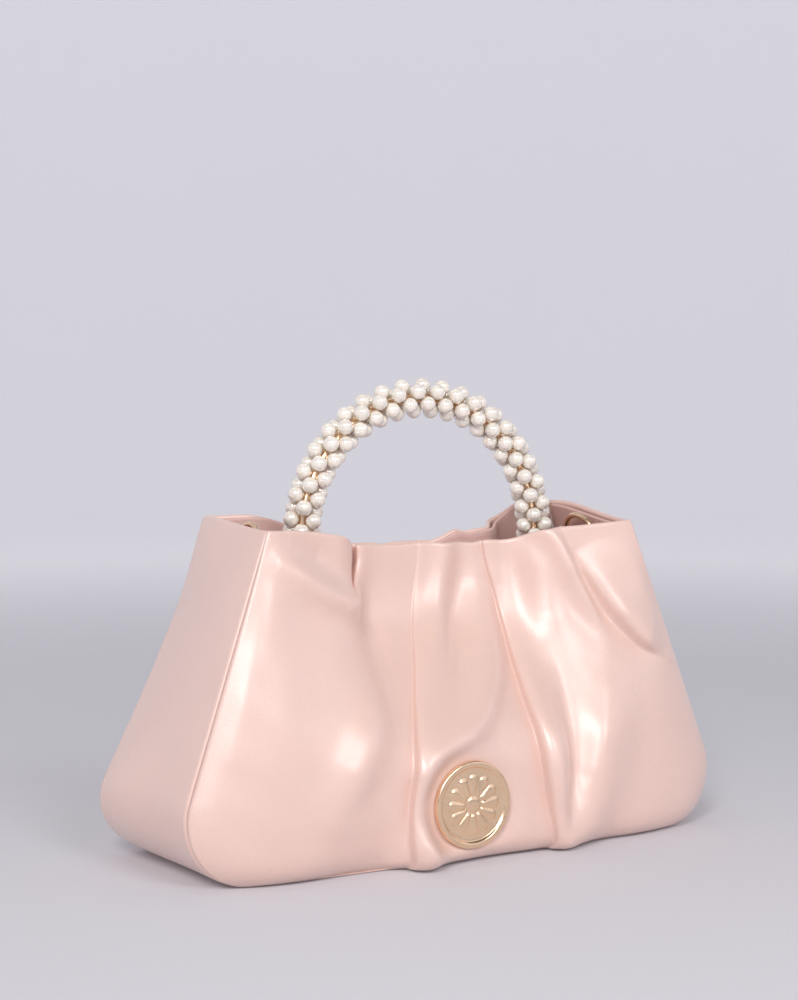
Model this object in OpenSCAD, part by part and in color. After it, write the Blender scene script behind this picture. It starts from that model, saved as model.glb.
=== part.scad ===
// Small gathered top-handle bag with an arched handle covered in beads.
// The origin is the middle of the base on the table, +Z is up, +X runs along
// the bag and the front panel faces -Y.  All sizes are in millimetres.

/* [Bag outline] */
// Length of the bag across its widest point
base_w = 260; // [230:1:320]
// Length of the bag between the two rim corners
rim_w = 182; // [170:1:215]
// Height of the rim at its four corners
rim_h = 138; // [128:1:165]
// Depth of the bag between the two bottom seams
base_d = 78; // [66:1:94]
// Depth of the bag between the two seams at the rim corners
rim_d = 62; // [56:1:74]
// Radius of the rounded bottom corners
corner_r = 26; // [18:1:36]

/* [Gathered panels] */
// How far the front panel swells out in front of its seams
front_belly = 15; // [8:0.5:18]
// How far the back panel swells out behind its seams
back_belly = 11; // [6:0.5:16]
// Height at which the panels are widest
belly_z = 14; // [10:1:24]
// Height at which the panels start to lean in towards the mouth
pinch_z = 44; // [38:1:52]
// Height of the pressed-together band below the closed part of the rim
lip_h = 20; // [16:1:26]
// Half length of the closed part of the mouth
closed_half = 36; // [28:1:38]
// Length over which the rim turns out beside the closed part
fold_w = 14; // [10:1:18]
// How far the front rim sags in the middle
front_dip = 9; // [4:0.5:12]
// How far the back rim sags in the middle
back_dip = 4; // [2:0.5:8]

/* [Leather and lining] */
// Thickness of the front and back panels
panel_t = 2.2; // [1.6:0.1:3]
// Thickness of the strip that makes the ends and the base
gusset_t = 2.5; // [1.8:0.1:3.5]
// Thickness of the facings inside the rim
facing_t = 1.5; // [1:0.1:2]
// Height of the facings inside the rim
facing_h = 30; // [26:1:34]
// Thickness of the lining cloth with its backing
lining_t = 0.8; // [0.6:0.1:1.2]
// Room between the panels and the lining
lining_room = 3.4; // [3.3:0.1:4.5]
// Thickness of the stiffening board in the base
board_t = 2; // [1.5:0.1:3]
// Length of the slip pocket
pocket_w = 90; // [60:1:110]
// Depth of the slip pocket
pocket_h = 46; // [30:1:50]

/* [Handle] */
// Distance between the middles of the two handle legs
handle_span = 119; // [112:1:126]
// Height of the middle of the handle's half circle
arch_z = 132; // [130:1:136]
// Diameter of the beads on the handle
bead_d = 6.7; // [6:0.1:6.8]
// Distance between two rings of beads along the handle
bead_pitch = 4.7; // [4.7:0.05:6]
// Diameter of the gold rod inside the handle
core_d = 4; // [3.8:0.1:4.8]
// Outer diameter of the caps at the ends of the handle
ferrule_d = 10.4; // [9.4:0.1:11.4]
// Length of the caps at the ends of the handle
ferrule_h = 7.6; // [6:0.1:9]
// Height of the handle's pivot above the cross straps
pivot_rise = 6; // [5.6:0.1:7]
// Diameter of the pivot pins
pin_d = 3; // [2.4:0.1:3.4]

/* [Straps, rings and snap] */
// Width of the cross straps that carry the handle
strap_w = 16; // [13:1:18]
// Thickness of the cross straps
strap_t = 2; // [1.5:0.1:3]
// Diameter of the D-ring wire
ring_wire_d = 2.6; // [2:0.1:3]
// Width of the D-rings, between the middles of their wires
ring_w = 22; // [18:1:26]
// Width of the leather tabs that hold the D-rings
tab_w = 15; // [10:1:16]
// Thickness of one ply of a tab
tab_ply = 1.3; // [1:0.1:1.4]
// Depth of the D-ring hinge below the rim, along the end of the bag
ring_drop = 9; // [8:0.5:12]
// Diameter of the magnetic snap
snap_d = 13; // [10:1:14]
// Room between the two facings where the snap closes them
snap_room = 5; // [4.6:0.1:6]

/* [Medallion] */
// Diameter of the round medallion on the front
badge_d = 36; // [28:1:40]
// Thickness of the medallion's plate
badge_t = 1.6; // [1.2:0.1:2.4]
// Sideways place of the medallion's middle
badge_x = -10; // [-30:1:30]
// Height of the medallion's middle
badge_z = 25; // [22:1:34]

/* [Clearances] */
// Gap between parts of the bag that lie against each other
fit = 0.25; // [0.2:0.05:0.4]
// Radial gap of the pins, the handle rod and the rivets in their holes
pin_fit = 0.04; // [0.02:0.01:0.1]

/* [Hidden] */

$fn = 64;
bead_fn = 24;
beads_per_ring = 3;
panel_columns = 32;
belly_rows = 4;
wall_rows = 12;
slope_step = 0.2;

leather = [0.91, 0.78, 0.74];
facing_pink = [0.86, 0.70, 0.67];
lining_beige = [0.85, 0.77, 0.72];
gold = [0.83, 0.66, 0.45];
pearl_white = [0.95, 0.92, 0.86];
board_grey = [0.55, 0.52, 0.50];
steel = [0.75, 0.75, 0.77];

// The outline of an end of the bag is a corner arc and a straight side that
// leans in by side_tilt and ends at the rim corner.
corner_x = base_w / 2 - corner_r;
top_dx = rim_w / 2 - corner_x;
top_dz = rim_h - corner_r;
side_tilt = atan2(top_dz, top_dx) - acos(corner_r / norm([top_dx, top_dz]));

// The closed lips leave the snap its room between the two facings.
facing_off = panel_t + 4 * fit;
facing_in = facing_off + facing_t;
lip_y = facing_in + snap_room / 2;
lining_off = panel_t + lining_room;
lining_in = lining_off + lining_t;
lining_floor = gusset_t + board_t + 3 * fit;
lip_z = rim_h - front_dip - lip_h;
fold_share = 0.45;

// Handle
handle_r = handle_span / 2;
strap_z = rim_h - facing_h - 1;
strap_top = strap_z + strap_t;
pivot_z = strap_top + pivot_rise;
pivot_eye_r = 3;
ear_r = 3.2;
ear_t = 1.5;
ear_gap = 2.6;
plate_t = 1.5;
plate_w = 10;
plate_d = 14;
rivet_y = 5;
rivet_r = 1.2;
rivet_head_r = 2;
rivet_head_t = 0.8;
ferrule_z = pivot_z + ear_r + 1.2;
ferrule_top = ferrule_z + ferrule_h;
ferrule_floor = 1.6;
bead_r = bead_d / 2;
bead_ring_r = core_d / 2 + bead_r + 0.05;
first_ring_z = ferrule_top + bead_r + fit;
leg_len = max(0, arch_z - first_ring_z);
bead_path = 2 * leg_len + PI * handle_r;
ring_count = floor(bead_path / bead_pitch);
ring_step = bead_path / ring_count;

// D-rings, in the frame of an end of the bag
ring_r = ring_wire_d / 2;
tab_bore_r = ring_r + pin_fit;
tab_loop_r = tab_bore_r + tab_ply;
end_facing_x = -gusset_t - fit;
tab_x = end_facing_x - facing_t - fit;
ring_x = tab_x - tab_loop_r;
ring_leg = 1.5;
tab_rivet_z = -ring_drop - tab_loop_r - 5;
tab_end_z = tab_rivet_z - 4;
end_facing_h = facing_h - 1.5;
end_facing_d = rim_d - 2 * (facing_in + 5 * fit);

// Snap and medallion
snap_z = rim_h - front_dip - lip_h / 2;
snap_plate_t = 1.4;
snap_nub_r = 2.4;
snap_nub_h = 1.4;
socket_t = snap_room - 2 * fit - snap_plate_t - 0.5;
badge_rim_w = 2.6;
badge_rim_h = 1;
badge_post_r = 1.25;
badge_post_x = 8;
badge_washer_d = 26;
badge_washer_t = 0.7;
badge_nut_r = 2;
badge_nut_t = 0.8;
badge_back_y = wall_y(badge_x, belly_z, front_belly) + fit;
washer_y = wall_y(badge_x, badge_z + badge_washer_d / 2, front_belly) - panel_t - fit;
nut_y = washer_y - badge_washer_t - fit;

// Zero below 0, one above 1, and an even S-curve between.
function clamped(t) = min(1, max(0, t));
function smooth(t) = let (c = clamped(t)) c * c * (3 - 2 * c);

// Half length of the bag at height z, at a depth of inset inside the strip.
function side_x(z, inset = 0) =
    let (r = corner_r - inset)
    z < corner_r + r * sin(side_tilt)
        ? corner_x + sqrt(max(0, r * r - pow(corner_r - z, 2)))
        : corner_x + (r - (z - corner_r) * sin(side_tilt)) / cos(side_tilt);

// Half depth between the seams at height z.
function seam_y(z) = base_d / 2 + (rim_d - base_d) / 2 * z / rim_h;

// Swelling of a panel: a quarter ellipse up to belly_z, then level up to pinch_z,
// and fading out towards the rim.
function swell(z) = z < belly_z
    ? sqrt(max(0, 1 - pow(1 - z / belly_z, 2)))
    : 1 - smooth((z - pinch_z) / (rim_h - pinch_z));

// One where the mouth is closed, falling to zero at the rim corners.
function gather(x) =
    let (a = abs(x) - closed_half)
    1 - fold_share * smooth(a / fold_w) - (1 - fold_share) * clamped(a / (rim_w / 2 - closed_half));

// Share of the way that a panel has leaned in towards the lips at height z.
function pinch(z) = let (t = clamped((z - pinch_z) / (lip_z - pinch_z))) (t + smooth(t)) / 2;

// Distance of a panel's outer face from the middle plane.
function wall_y(x, z, belly) =
    let (u = min(1, abs(x) / side_x(z)))
    let (open_y = seam_y(z) + belly * swell(z) * (1 - pow(u, 3)))
    open_y + (lip_y - open_y) * pinch(z) * gather(x);

// Slopes of that face along x and z.
function slope_x(x, z, belly) =
    (wall_y(x + slope_step, z, belly) - wall_y(x - slope_step, z, belly)) / (2 * slope_step);
function slope_z(x, z, belly) =
    (wall_y(x, z + slope_step, belly) - wall_y(x, z - slope_step, belly)) / (2 * slope_step);

// Point at depth off inside that face, square to it; side is -1 in front.
function skin(x, z, off, belly, side) =
    let (sx = slope_x(x, z, belly), sz = slope_z(x, z, belly))
    let (k = off / norm([1, sx, sz]))
    [x + sx * k, side * (wall_y(x, z, belly) - k), z + sz * k];

// Height of the rim at the share u of its half length.
function rim_z(u, dip) = rim_h - dip * gather(u * rim_w / 2);

// Distance from the middle plane of the face that lies off inside the panel.
function face_y(x, z, off, belly) =
    wall_y(x, z, belly) - off * norm([1, slope_x(x, z, belly), slope_z(x, z, belly)]);

// Shares of the half length from end to end.
function columns(count) = [for (j = [0:count]) -1 + 2 * j / count];

// Heights of the rows of a panel under one column.
function panel_rows(u, dip) = [
    for (i = [0:belly_rows - 1]) belly_z * (1 - cos(90 * i / belly_rows)),
    for (i = [0:wall_rows]) belly_z + (rim_z(u, dip) - belly_z) * i / wall_rows
];

// Turns rows under each column into columns under each row.
function turned_grid(g) = [for (i = [0:len(g[0]) - 1]) [for (j = [0:len(g) - 1]) g[j][i]]];

function quad(a, b, c, d, flip) = flip ? [[a, c, b], [a, d, c]] : [[a, b, c], [a, c, d]];

// Closed sheet between two grids of points that share their border.
module sheet_solid(outer, inner, flip) {
    rows = len(outer);
    cols = len(outer[0]);
    n = rows * cols;
    polyhedron(
        points = [for (g = [outer, inner]) for (row = g) each row],
        faces = [
            for (i = [0:rows - 2]) for (j = [0:cols - 2])
                let (a = i * cols + j)
                each concat(
                    quad(a, a + cols, a + cols + 1, a + 1, flip),
                    quad(n + a, n + a + 1, n + a + cols + 1, n + a + cols, flip)),
            for (j = [0:cols - 2])
                let (t = (rows - 1) * cols + j)
                each concat(quad(j, j + 1, n + j + 1, n + j, flip), quad(t, n + t, n + t + 1, t + 1, flip)),
            for (i = [0:rows - 2])
                let (l = i * cols, r = i * cols + cols - 1)
                each concat(
                    quad(l, n + l, n + l + cols, l + cols, flip),
                    quad(r, r + cols, n + r + cols, n + r, flip))
        ]);
}

// Closed tub between two stacks of loops, with a floor between its long sides.
module tub_solid(outer, inner) {
    rows = len(outer);
    loop = len(outer[0]);
    half = loop / 2;
    n = rows * loop;
    polyhedron(
        points = [for (g = [outer, inner]) for (row = g) each row],
        faces = [
            for (i = [0:rows - 2]) for (j = [0:loop - 1])
                let (a = i * loop + j, b = i * loop + (j + 1) % loop)
                each concat(
                    quad(a, a + loop, b + loop, b, false),
                    quad(n + a, n + b, n + b + loop, n + a + loop, false)),
            for (j = [0:loop - 1])
                let (a = (rows - 1) * loop + j, b = (rows - 1) * loop + (j + 1) % loop)
                each quad(a, n + a, n + b, b, false),
            for (j = [0:half - 2])
                each concat(
                    quad(j, j + 1, loop - 2 - j, loop - 1 - j, false),
                    quad(n + j, n + loop - 1 - j, n + loop - 2 - j, n + j + 1, false))
        ]);
}

// A gathered panel: its border lies in the seam plane.
module panel(belly, dip, side) {
    us = columns(panel_columns);
    rows = belly_rows + wall_rows;
    grid = [for (u = us) [for (z = panel_rows(u, dip)) [u * side_x(z), z]]];
    outer = [for (col = grid) [for (p = col) [p.x, side * wall_y(p.x, p.y, belly), p.y]]];
    inner = [for (j = [0:panel_columns]) [for (i = [0:rows])
        let (p = grid[j][i])
        i == 0 || j == 0 || j == panel_columns
            ? [p.x, side * (wall_y(p.x, p.y, belly) - panel_t), p.y]
            : skin(p.x, p.y, panel_t, belly, side)]];
    sheet_solid(turned_grid(outer), turned_grid(inner), side > 0);
}

// A band of sheet that lies off inside a panel, between two rims given by
// their depths below the panel's rim.
module band(belly, dip, side, off, t, top, bottom, inset, rows) {
    us = columns(panel_columns);
    grid = [for (u = us) [for (i = [0:rows])
        let (z = rim_z(u, dip) - bottom + (bottom - top) * i / rows)
        [u * side_x(z, inset), z]]];
    outer = [for (col = grid) [for (p = col) skin(p.x, p.y, off, belly, side)]];
    inner = [for (col = grid) [for (p = col) skin(p.x, p.y, off + t, belly, side)]];
    sheet_solid(turned_grid(outer), turned_grid(inner), side > 0);
}

// Outline of the strip seen from the front, inset all round and open upwards.
module side_outline(inset, rise) {
    r = corner_r - inset;
    tx = corner_x + r * cos(side_tilt);
    tz = corner_r + r * sin(side_tilt);
    top_x = side_x(rim_h + rise, inset);
    polygon([[-corner_x, inset], [corner_x, inset], [corner_x, corner_r], [tx, tz], [top_x, rim_h + rise],
        [-top_x, rim_h + rise], [-tx, tz], [-corner_x, corner_r]]);
    for (s = [-1, 1]) translate([s * corner_x, corner_r]) circle(r);
}

// Space between the two seam planes, in by the given amount.
module between_seams(inset) {
    b = base_d / 2 - inset;
    t = rim_d / 2 - inset;
    translate([-base_w, 0, 0]) rotate([90, 0, 90])
        linear_extrude(2 * base_w) polygon([[-b, 0], [b, 0], [t, rim_h], [-t, rim_h]]);
}

module gusset() {
    color(leather) intersection() {
        translate([0, base_d, 0]) rotate([90, 0, 0]) linear_extrude(2 * base_d)
            difference() {
                side_outline(0, 0);
                side_outline(gusset_t, 10);
            }
        between_seams(panel_t + fit);
    }
}

// Holes for the medallion's posts, square to the front.
module badge_holes() {
    for (s = [-1, 1]) translate([badge_x + s * badge_post_x, -base_d, badge_z]) rotate([-90, 0, 0])
        cylinder(r = badge_post_r + pin_fit, h = base_d / 2);
}

module front_panel() {
    color(leather) difference() {
        panel(front_belly, front_dip, -1);
        badge_holes();
    }
}

module back_panel() {
    color(leather) panel(back_belly, back_dip, 1);
}

module base_board() {
    l = 2 * (corner_x - 2);
    d = base_d - 2 * (panel_t + 3);
    color(board_grey) translate([-l / 2, -d / 2, gusset_t + fit]) cube([l, d, board_t]);
}

// One loop of the lining, front then back, at share f of its height.
function lining_loop(f, off, floor_z) =
    let (us = columns(panel_columns))
    let (edge = gusset_t + facing_t + 3 * fit + off - lining_off, drop = facing_h + fit)
    concat(
        [for (u = us)
            let (top = rim_z(u, front_dip) - drop, z = floor_z + (top - floor_z) * f)
            skin(u * side_x(z, edge), z, off, front_belly, -1)],
        [for (j = [panel_columns:-1:0])
            let (u = us[j], top = rim_z(u, back_dip) - drop, z = floor_z + (top - floor_z) * f)
            skin(u * side_x(z, edge), z, off, back_belly, 1)]);

module lining() {
    steps = 8;
    color(lining_beige) tub_solid(
        [for (i = [0:steps]) lining_loop(i / steps, lining_off, lining_floor)],
        [for (i = [0:steps]) lining_loop(i / steps, lining_in, lining_floor + lining_t)]);
}

// A flat pocket that follows the lining of the back wall.
module slip_pocket() {
    cols = 12;
    rows = 6;
    top = lip_z - 10;
    off = lining_in + 3 * fit;
    grid = [for (i = [0:rows]) [for (j = [0:cols])
        [-pocket_w / 2 + pocket_w * j / cols, top - pocket_h + pocket_h * i / rows]]];
    outer = [for (row = grid) [for (p = row) skin(p.x, p.y, off, back_belly, 1)]];
    inner = [for (row = grid) [for (p = row) skin(p.x, p.y, off + lining_t, back_belly, 1)]];
    color(lining_beige) sheet_solid(outer, inner, true);
}

module front_facing() {
    color(facing_pink)
        band(front_belly, front_dip, -1, facing_off, facing_t, 0.6, facing_h, gusset_t + 6 * fit, 6);
}

module back_facing() {
    color(facing_pink)
        band(back_belly, back_dip, 1, facing_off, facing_t, 0.6, facing_h, gusset_t + 6 * fit, 6);
}

// Puts children in the frame of an end: x out of the end, z up along it, and
// the origin at the outer edge of its rim.  side is -1 on the left.
module at_end(side) {
    mirror([side < 0 ? 1 : 0, 0, 0])
        translate([rim_w / 2, 0, rim_h]) rotate([0, -side_tilt, 0]) children();
}

module tab_rivet_hole(extra) {
    translate([end_facing_x + 1, 0, tab_rivet_z]) rotate([0, -90, 0])
        cylinder(r = rivet_r + extra, h = 12);
}

module end_facing(side) {
    color(facing_pink) at_end(side) difference() {
        translate([end_facing_x - facing_t, -end_facing_d / 2, -end_facing_h])
            cube([facing_t, end_facing_d, end_facing_h - 0.6]);
        tab_rivet_hole(pin_fit);
        translate([end_facing_x + 0.1, 0, tab_rivet_z]) rotate([0, -90, 0])
            cylinder(r = rivet_head_r + pin_fit, h = facing_t / 2 + 0.1);
    }
}

// Plate of one half of the snap, lying on the facing of that side.
module snap_plate(side, t) {
    translate([0, side * (snap_room / 2 - fit), snap_z]) rotate([side * 90, 0, 0])
        cylinder(d = snap_d, h = t);
}

module magnet_snap_male() {
    color(gold) {
        snap_plate(-1, snap_plate_t);
        snap_plate_front = snap_room / 2 - fit;
        translate([0, -snap_plate_front, snap_z]) rotate([-90, 0, 0])
            cylinder(r = snap_nub_r, h = snap_plate_t + snap_nub_h);
    }
}

module magnet_snap_female() {
    color(gold) difference() {
        snap_plate(1, socket_t);
        translate([0, snap_room / 2 - fit - socket_t - 1, snap_z]) rotate([-90, 0, 0])
            cylinder(r = snap_nub_r + 0.3, h = socket_t);
    }
}

// A strap across the mouth: its ends follow the two facings.
module cross_strap(side) {
    steps = 6;
    xs = [for (i = [0:steps]) side * handle_r - strap_w / 2 + strap_w * i / steps];
    gap = facing_in + 2 * fit;
    mid_z = strap_z + strap_t / 2;
    color(leather) translate([0, 0, strap_z]) difference() {
        linear_extrude(strap_t) polygon(concat(
            [for (x = xs) [x, -face_y(x, mid_z, gap, front_belly)]],
            [for (i = [steps:-1:0]) [xs[i], face_y(xs[i], mid_z, gap, back_belly)]]));
        bracket_rivet_holes(side, strap_t);
    }
}

module bracket_rivet_holes(side, t) {
    for (s = [-1, 1]) translate([side * handle_r, s * rivet_y, -1])
        cylinder(r = rivet_r + pin_fit, h = t + 2);
}

module handle_bracket(side) {
    color(gold) difference() {
        union() {
            translate([side * handle_r - plate_w / 2, -plate_d / 2, strap_top + fit])
                cube([plate_w, plate_d, plate_t]);
            for (s = [-1, 1]) translate([side * handle_r + s * (ear_gap + ear_t / 2) - ear_t / 2, 0, 0]) {
                translate([0, -ear_r, strap_top + fit]) cube([ear_t, 2 * ear_r, pivot_rise - fit]);
                translate([0, 0, pivot_z]) rotate([0, 90, 0]) cylinder(r = ear_r, h = ear_t);
            }
        }
        translate([side * handle_r - plate_w, 0, pivot_z]) rotate([0, 90, 0])
            cylinder(r = pin_d / 2 + pin_fit, h = 2 * plate_w);
        translate([0, 0, strap_top]) bracket_rivet_holes(side, plate_t);
    }
}

module bracket_rivets() {
    head_top = strap_top + fit + plate_t;
    color(gold) for (side = [-1, 1]) for (s = [-1, 1]) translate([side * handle_r, s * rivet_y, 0]) {
        translate([0, 0, strap_z]) cylinder(r = rivet_r, h = head_top - strap_z);
        translate([0, 0, head_top]) cylinder(r = rivet_head_r, h = rivet_head_t);
        translate([0, 0, strap_z - rivet_head_t]) cylinder(r = rivet_head_r, h = rivet_head_t);
    }
}

module handle_pivot_pins() {
    reach = ear_gap + ear_t + fit;
    color(gold) for (side = [-1, 1]) translate([side * handle_r, 0, pivot_z]) rotate([0, 90, 0]) {
        cylinder(d = pin_d, h = 2 * reach, center = true);
        for (s = [-1, 1]) translate([0, 0, s * (reach + 0.4)]) cylinder(d = pin_d + 2, h = 0.8, center = true);
    }
}

module ferrule(side) {
    tongue_t = 2 * (ear_gap - 0.2);
    color(gold) translate([side * handle_r, 0, 0]) difference() {
        union() {
            translate([0, 0, ferrule_z]) cylinder(d = ferrule_d, h = ferrule_h);
            translate([-tongue_t / 2, -pivot_eye_r, pivot_z]) cube([tongue_t, 2 * pivot_eye_r, ferrule_z - pivot_z + 1]);
            translate([-tongue_t / 2, 0, pivot_z]) rotate([0, 90, 0]) cylinder(r = pivot_eye_r, h = tongue_t);
        }
        translate([0, 0, ferrule_z + ferrule_floor]) cylinder(d = core_d + 2 * pin_fit, h = ferrule_h);
        translate([-tongue_t, 0, pivot_z]) rotate([0, 90, 0])
            cylinder(r = pin_d / 2 + pin_fit, h = 2 * tongue_t);
    }
}

module handle_core() {
    foot = ferrule_z + ferrule_floor + fit;
    color(gold) {
        translate([0, 0, arch_z]) rotate([90, 0, 0]) rotate_extrude(angle = 180)
            translate([handle_r, 0]) circle(d = core_d);
        for (s = [-1, 1]) translate([s * handle_r, 0, foot]) cylinder(d = core_d, h = arch_z - foot);
    }
}

// Frame of the handle's middle line at the length s along it: the children's
// x points away from the middle of the arch and their z runs along the handle.
module at_handle(s) {
    arc = s - leg_len;
    arc_len = PI * handle_r;
    if (arc < 0) translate([-handle_r, 0, first_ring_z + s]) rotate([0, 0, 180]) children();
    else if (arc > arc_len) translate([handle_r, 0, arch_z - (arc - arc_len)]) children();
    else translate([0, 0, arch_z]) rotate([0, -180 + arc / handle_r * 180 / PI, 0])
        translate([handle_r, 0, 0]) children();
}

// Rings of beads, each turned by half a step against the one before.
module handle_pearls() {
    step = 360 / beads_per_ring;
    color(pearl_white) for (i = [0:ring_count]) at_handle(min(i * ring_step, bead_path - 0.001))
        for (k = [0:beads_per_ring - 1]) rotate([0, 0, k * step + (i % 2) * step / 2])
            translate([bead_ring_r, 0, 0]) sphere(r = bead_r, $fn = bead_fn);
}

module ring_tab(side) {
    color(leather) at_end(side) difference() {
        translate([0, tab_w / 2, 0]) rotate([90, 0, 0]) linear_extrude(tab_w) difference() {
            union() {
                translate([ring_x, -ring_drop]) circle(r = tab_loop_r);
                translate([tab_x - 2 * tab_ply, tab_end_z]) square([2 * tab_ply, -ring_drop - tab_end_z]);
            }
            translate([ring_x, -ring_drop]) circle(r = tab_bore_r);
        }
        tab_rivet_hole(pin_fit);
    }
}

module tab_rivets() {
    front_x = tab_x - 2 * tab_ply;
    back_x = end_facing_x;
    color(gold) for (side = [-1, 1]) at_end(side) translate([0, 0, tab_rivet_z]) rotate([0, -90, 0]) {
        translate([0, 0, -back_x]) cylinder(r = rivet_r, h = back_x - front_x);
        translate([0, 0, -back_x]) cylinder(r = rivet_head_r, h = facing_t / 2 - 0.05);
        translate([0, 0, -front_x]) cylinder(r = rivet_head_r, h = rivet_head_t);
    }
}

// The wire is a straight bar, two short legs and a half circle.
module d_ring(side) {
    half = ring_w / 2;
    color(gold) at_end(side) translate([ring_x, 0, -ring_drop]) {
        rotate([90, 0, 0]) cylinder(r = ring_r, h = ring_w, center = true);
        for (s = [-1, 1]) translate([0, s * half, 0]) {
            sphere(r = ring_r);
            cylinder(r = ring_r, h = ring_leg);
        }
        translate([0, 0, ring_leg]) rotate([90, 0, 90]) rotate_extrude(angle = 180)
            translate([half, 0]) circle(r = ring_r);
    }
}

// Puts children in front of the middle plane by y, at the medallion's middle,
// with z pointing out of the bag.
module at_badge(y) {
    translate([badge_x, -y, badge_z]) rotate([90, 0, 0]) children();
}

module medallion() {
    color(gold) at_badge(badge_back_y) {
        cylinder(d = badge_d, h = badge_t, $fn = 96);
        translate([0, 0, badge_t]) difference() {
            cylinder(d = badge_d, h = badge_rim_h, $fn = 96);
            translate([0, 0, -1]) cylinder(d = badge_d - 2 * badge_rim_w, h = badge_rim_h + 2, $fn = 96);
        }
        post_len = badge_back_y - nut_y + badge_nut_t;
        for (s = [-1, 1]) translate([s * badge_post_x, 0, -post_len]) cylinder(r = badge_post_r, h = post_len + 1);
    }
}

module medallion_washer() {
    color(steel) at_badge(washer_y) difference() {
        translate([0, 0, -badge_washer_t]) cylinder(d = badge_washer_d, h = badge_washer_t);
        for (s = [-1, 1]) translate([s * badge_post_x, 0, -badge_washer_t - 1])
            cylinder(r = badge_post_r + pin_fit, h = badge_washer_t + 2);
    }
}

module medallion_nuts() {
    color(steel) at_badge(nut_y)
        for (s = [-1, 1]) translate([s * badge_post_x, 0, -badge_nut_t]) difference() {
            cylinder(r = badge_nut_r + 0.6, h = badge_nut_t, $fn = 6);
            translate([0, 0, -1]) cylinder(r = badge_post_r + pin_fit, h = badge_nut_t + 2);
        }
}

gusset();
front_panel();
back_panel();
base_board();
lining();
slip_pocket();
front_facing();
back_facing();
end_facing(-1);  // left_end_facing
end_facing(1);  // right_end_facing
magnet_snap_male();
magnet_snap_female();
cross_strap(-1);  // left_cross_strap
cross_strap(1);  // right_cross_strap
handle_bracket(-1);  // left_handle_bracket
handle_bracket(1);  // right_handle_bracket
bracket_rivets();
handle_pivot_pins();
ferrule(-1);  // left_ferrule
ferrule(1);  // right_ferrule
handle_core();
handle_pearls();
ring_tab(-1);  // left_ring_tab
ring_tab(1);  // right_ring_tab
tab_rivets();
d_ring(-1);  // left_d_ring
d_ring(1);  // right_d_ring
medallion();
medallion_washer();
medallion_nuts();
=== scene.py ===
"""Small gathered leather bag with a beaded arch handle: its leather, lining, trim and stage."""
import math

import bmesh
import bpy
import numpy as np
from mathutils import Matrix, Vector


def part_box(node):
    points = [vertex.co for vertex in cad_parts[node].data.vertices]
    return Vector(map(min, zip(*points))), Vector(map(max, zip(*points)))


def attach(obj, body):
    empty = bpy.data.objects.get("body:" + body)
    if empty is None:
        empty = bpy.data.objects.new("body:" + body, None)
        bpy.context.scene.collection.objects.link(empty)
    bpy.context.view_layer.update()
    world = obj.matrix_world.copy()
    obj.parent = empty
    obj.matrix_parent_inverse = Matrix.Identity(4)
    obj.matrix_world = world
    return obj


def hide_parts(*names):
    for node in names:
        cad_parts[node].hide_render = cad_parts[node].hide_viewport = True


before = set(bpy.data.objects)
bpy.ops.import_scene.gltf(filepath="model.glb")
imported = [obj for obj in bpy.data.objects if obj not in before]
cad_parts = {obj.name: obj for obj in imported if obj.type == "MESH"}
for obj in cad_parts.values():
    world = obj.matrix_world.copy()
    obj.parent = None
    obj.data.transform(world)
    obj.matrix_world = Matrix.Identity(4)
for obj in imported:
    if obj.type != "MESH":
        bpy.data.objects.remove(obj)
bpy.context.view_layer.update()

bl_info = {
    "name": "Gathered bag with beaded handle",
    "version": (1, 0, 0),
    "blender": (4, 5, 0),
    "location": "View3D > Sidebar > Bag",
    "description": "Leather, lining, trim, finishes and stage of a small gathered bag",
    "category": "Object",
}

MM = 0.001
FLOOR_GAP = 0.05  # the leather's lowest points stand this far off the floor, mm


# ---------------------------------------------------------------- settings

def size_mm(name, about, value, low, high):
    """A size in millimetres."""
    return bpy.props.FloatProperty(
        name=name, description=about + ", mm", default=value, min=low, max=high)


def colour_of(name, about, value):
    """The colour of something, without transparency."""
    return bpy.props.FloatVectorProperty(
        name=name, description="Colour of " + about, subtype="COLOR", size=4,
        default=(*value, 1), min=0, max=1)


class BagSizes(bpy.types.PropertyGroup):
    """Sizes of the bag's outline and of its gathered panels, in millimetres."""
    base_w: size_mm("Base length", "Length of the bag across its widest point", 260, 230, 320)
    rim_w: size_mm("Rim length", "Length between the two rim corners", 182, 170, 215)
    rim_h: size_mm("Rim height", "Height of the rim at its corners", 138, 128, 165)
    base_d: size_mm("Base depth", "Depth between the two bottom seams", 78, 66, 94)
    rim_d: size_mm("Rim depth", "Depth between the two seams at the rim corners", 62, 56, 74)
    corner_r: size_mm("Corner radius", "Radius of the rounded bottom corners", 26, 18, 36)
    front_belly: size_mm("Front belly", "How far the front swells out past its seams", 15, 8, 18)
    back_belly: size_mm("Back belly", "How far the back swells out past its seams", 11, 6, 16)
    belly_z: size_mm("Belly height", "Height at which the panels are widest", 14, 10, 24)
    pinch_z: size_mm("Pinch height", "Height at which the panels start to lean in", 44, 38, 52)
    lip_z: size_mm("Lip height", "Height at which the lips meet", 109, 100, 130)
    lip_y: size_mm("Lip distance", "Distance of the closed lips from the middle plane", 7.2, 6, 9)
    closed_half: size_mm(
        "Closed half length", "Half length of the closed part of the mouth", 36, 28, 38)
    fold_w: size_mm(
        "Turn-out length", "Length over which the rim turns out beside the closed part", 14, 10, 18)
    front_dip: size_mm("Front dip", "How far the front rim sags in the middle", 9, 4, 12)
    back_dip: size_mm("Back dip", "How far the back rim sags in the middle", 4, 2, 8)
    panel_t: size_mm("Panel thickness", "Thickness of the front and back leather", 2.2, 1.6, 3)
    gusset_t: size_mm(
        "Gusset thickness", "Thickness of the strip of the ends and base", 2.5, 1.8, 3.5)
    puff: size_mm("Padding", "How far the padded panels rise just inside their seams", 2.6, 0, 4)


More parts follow.
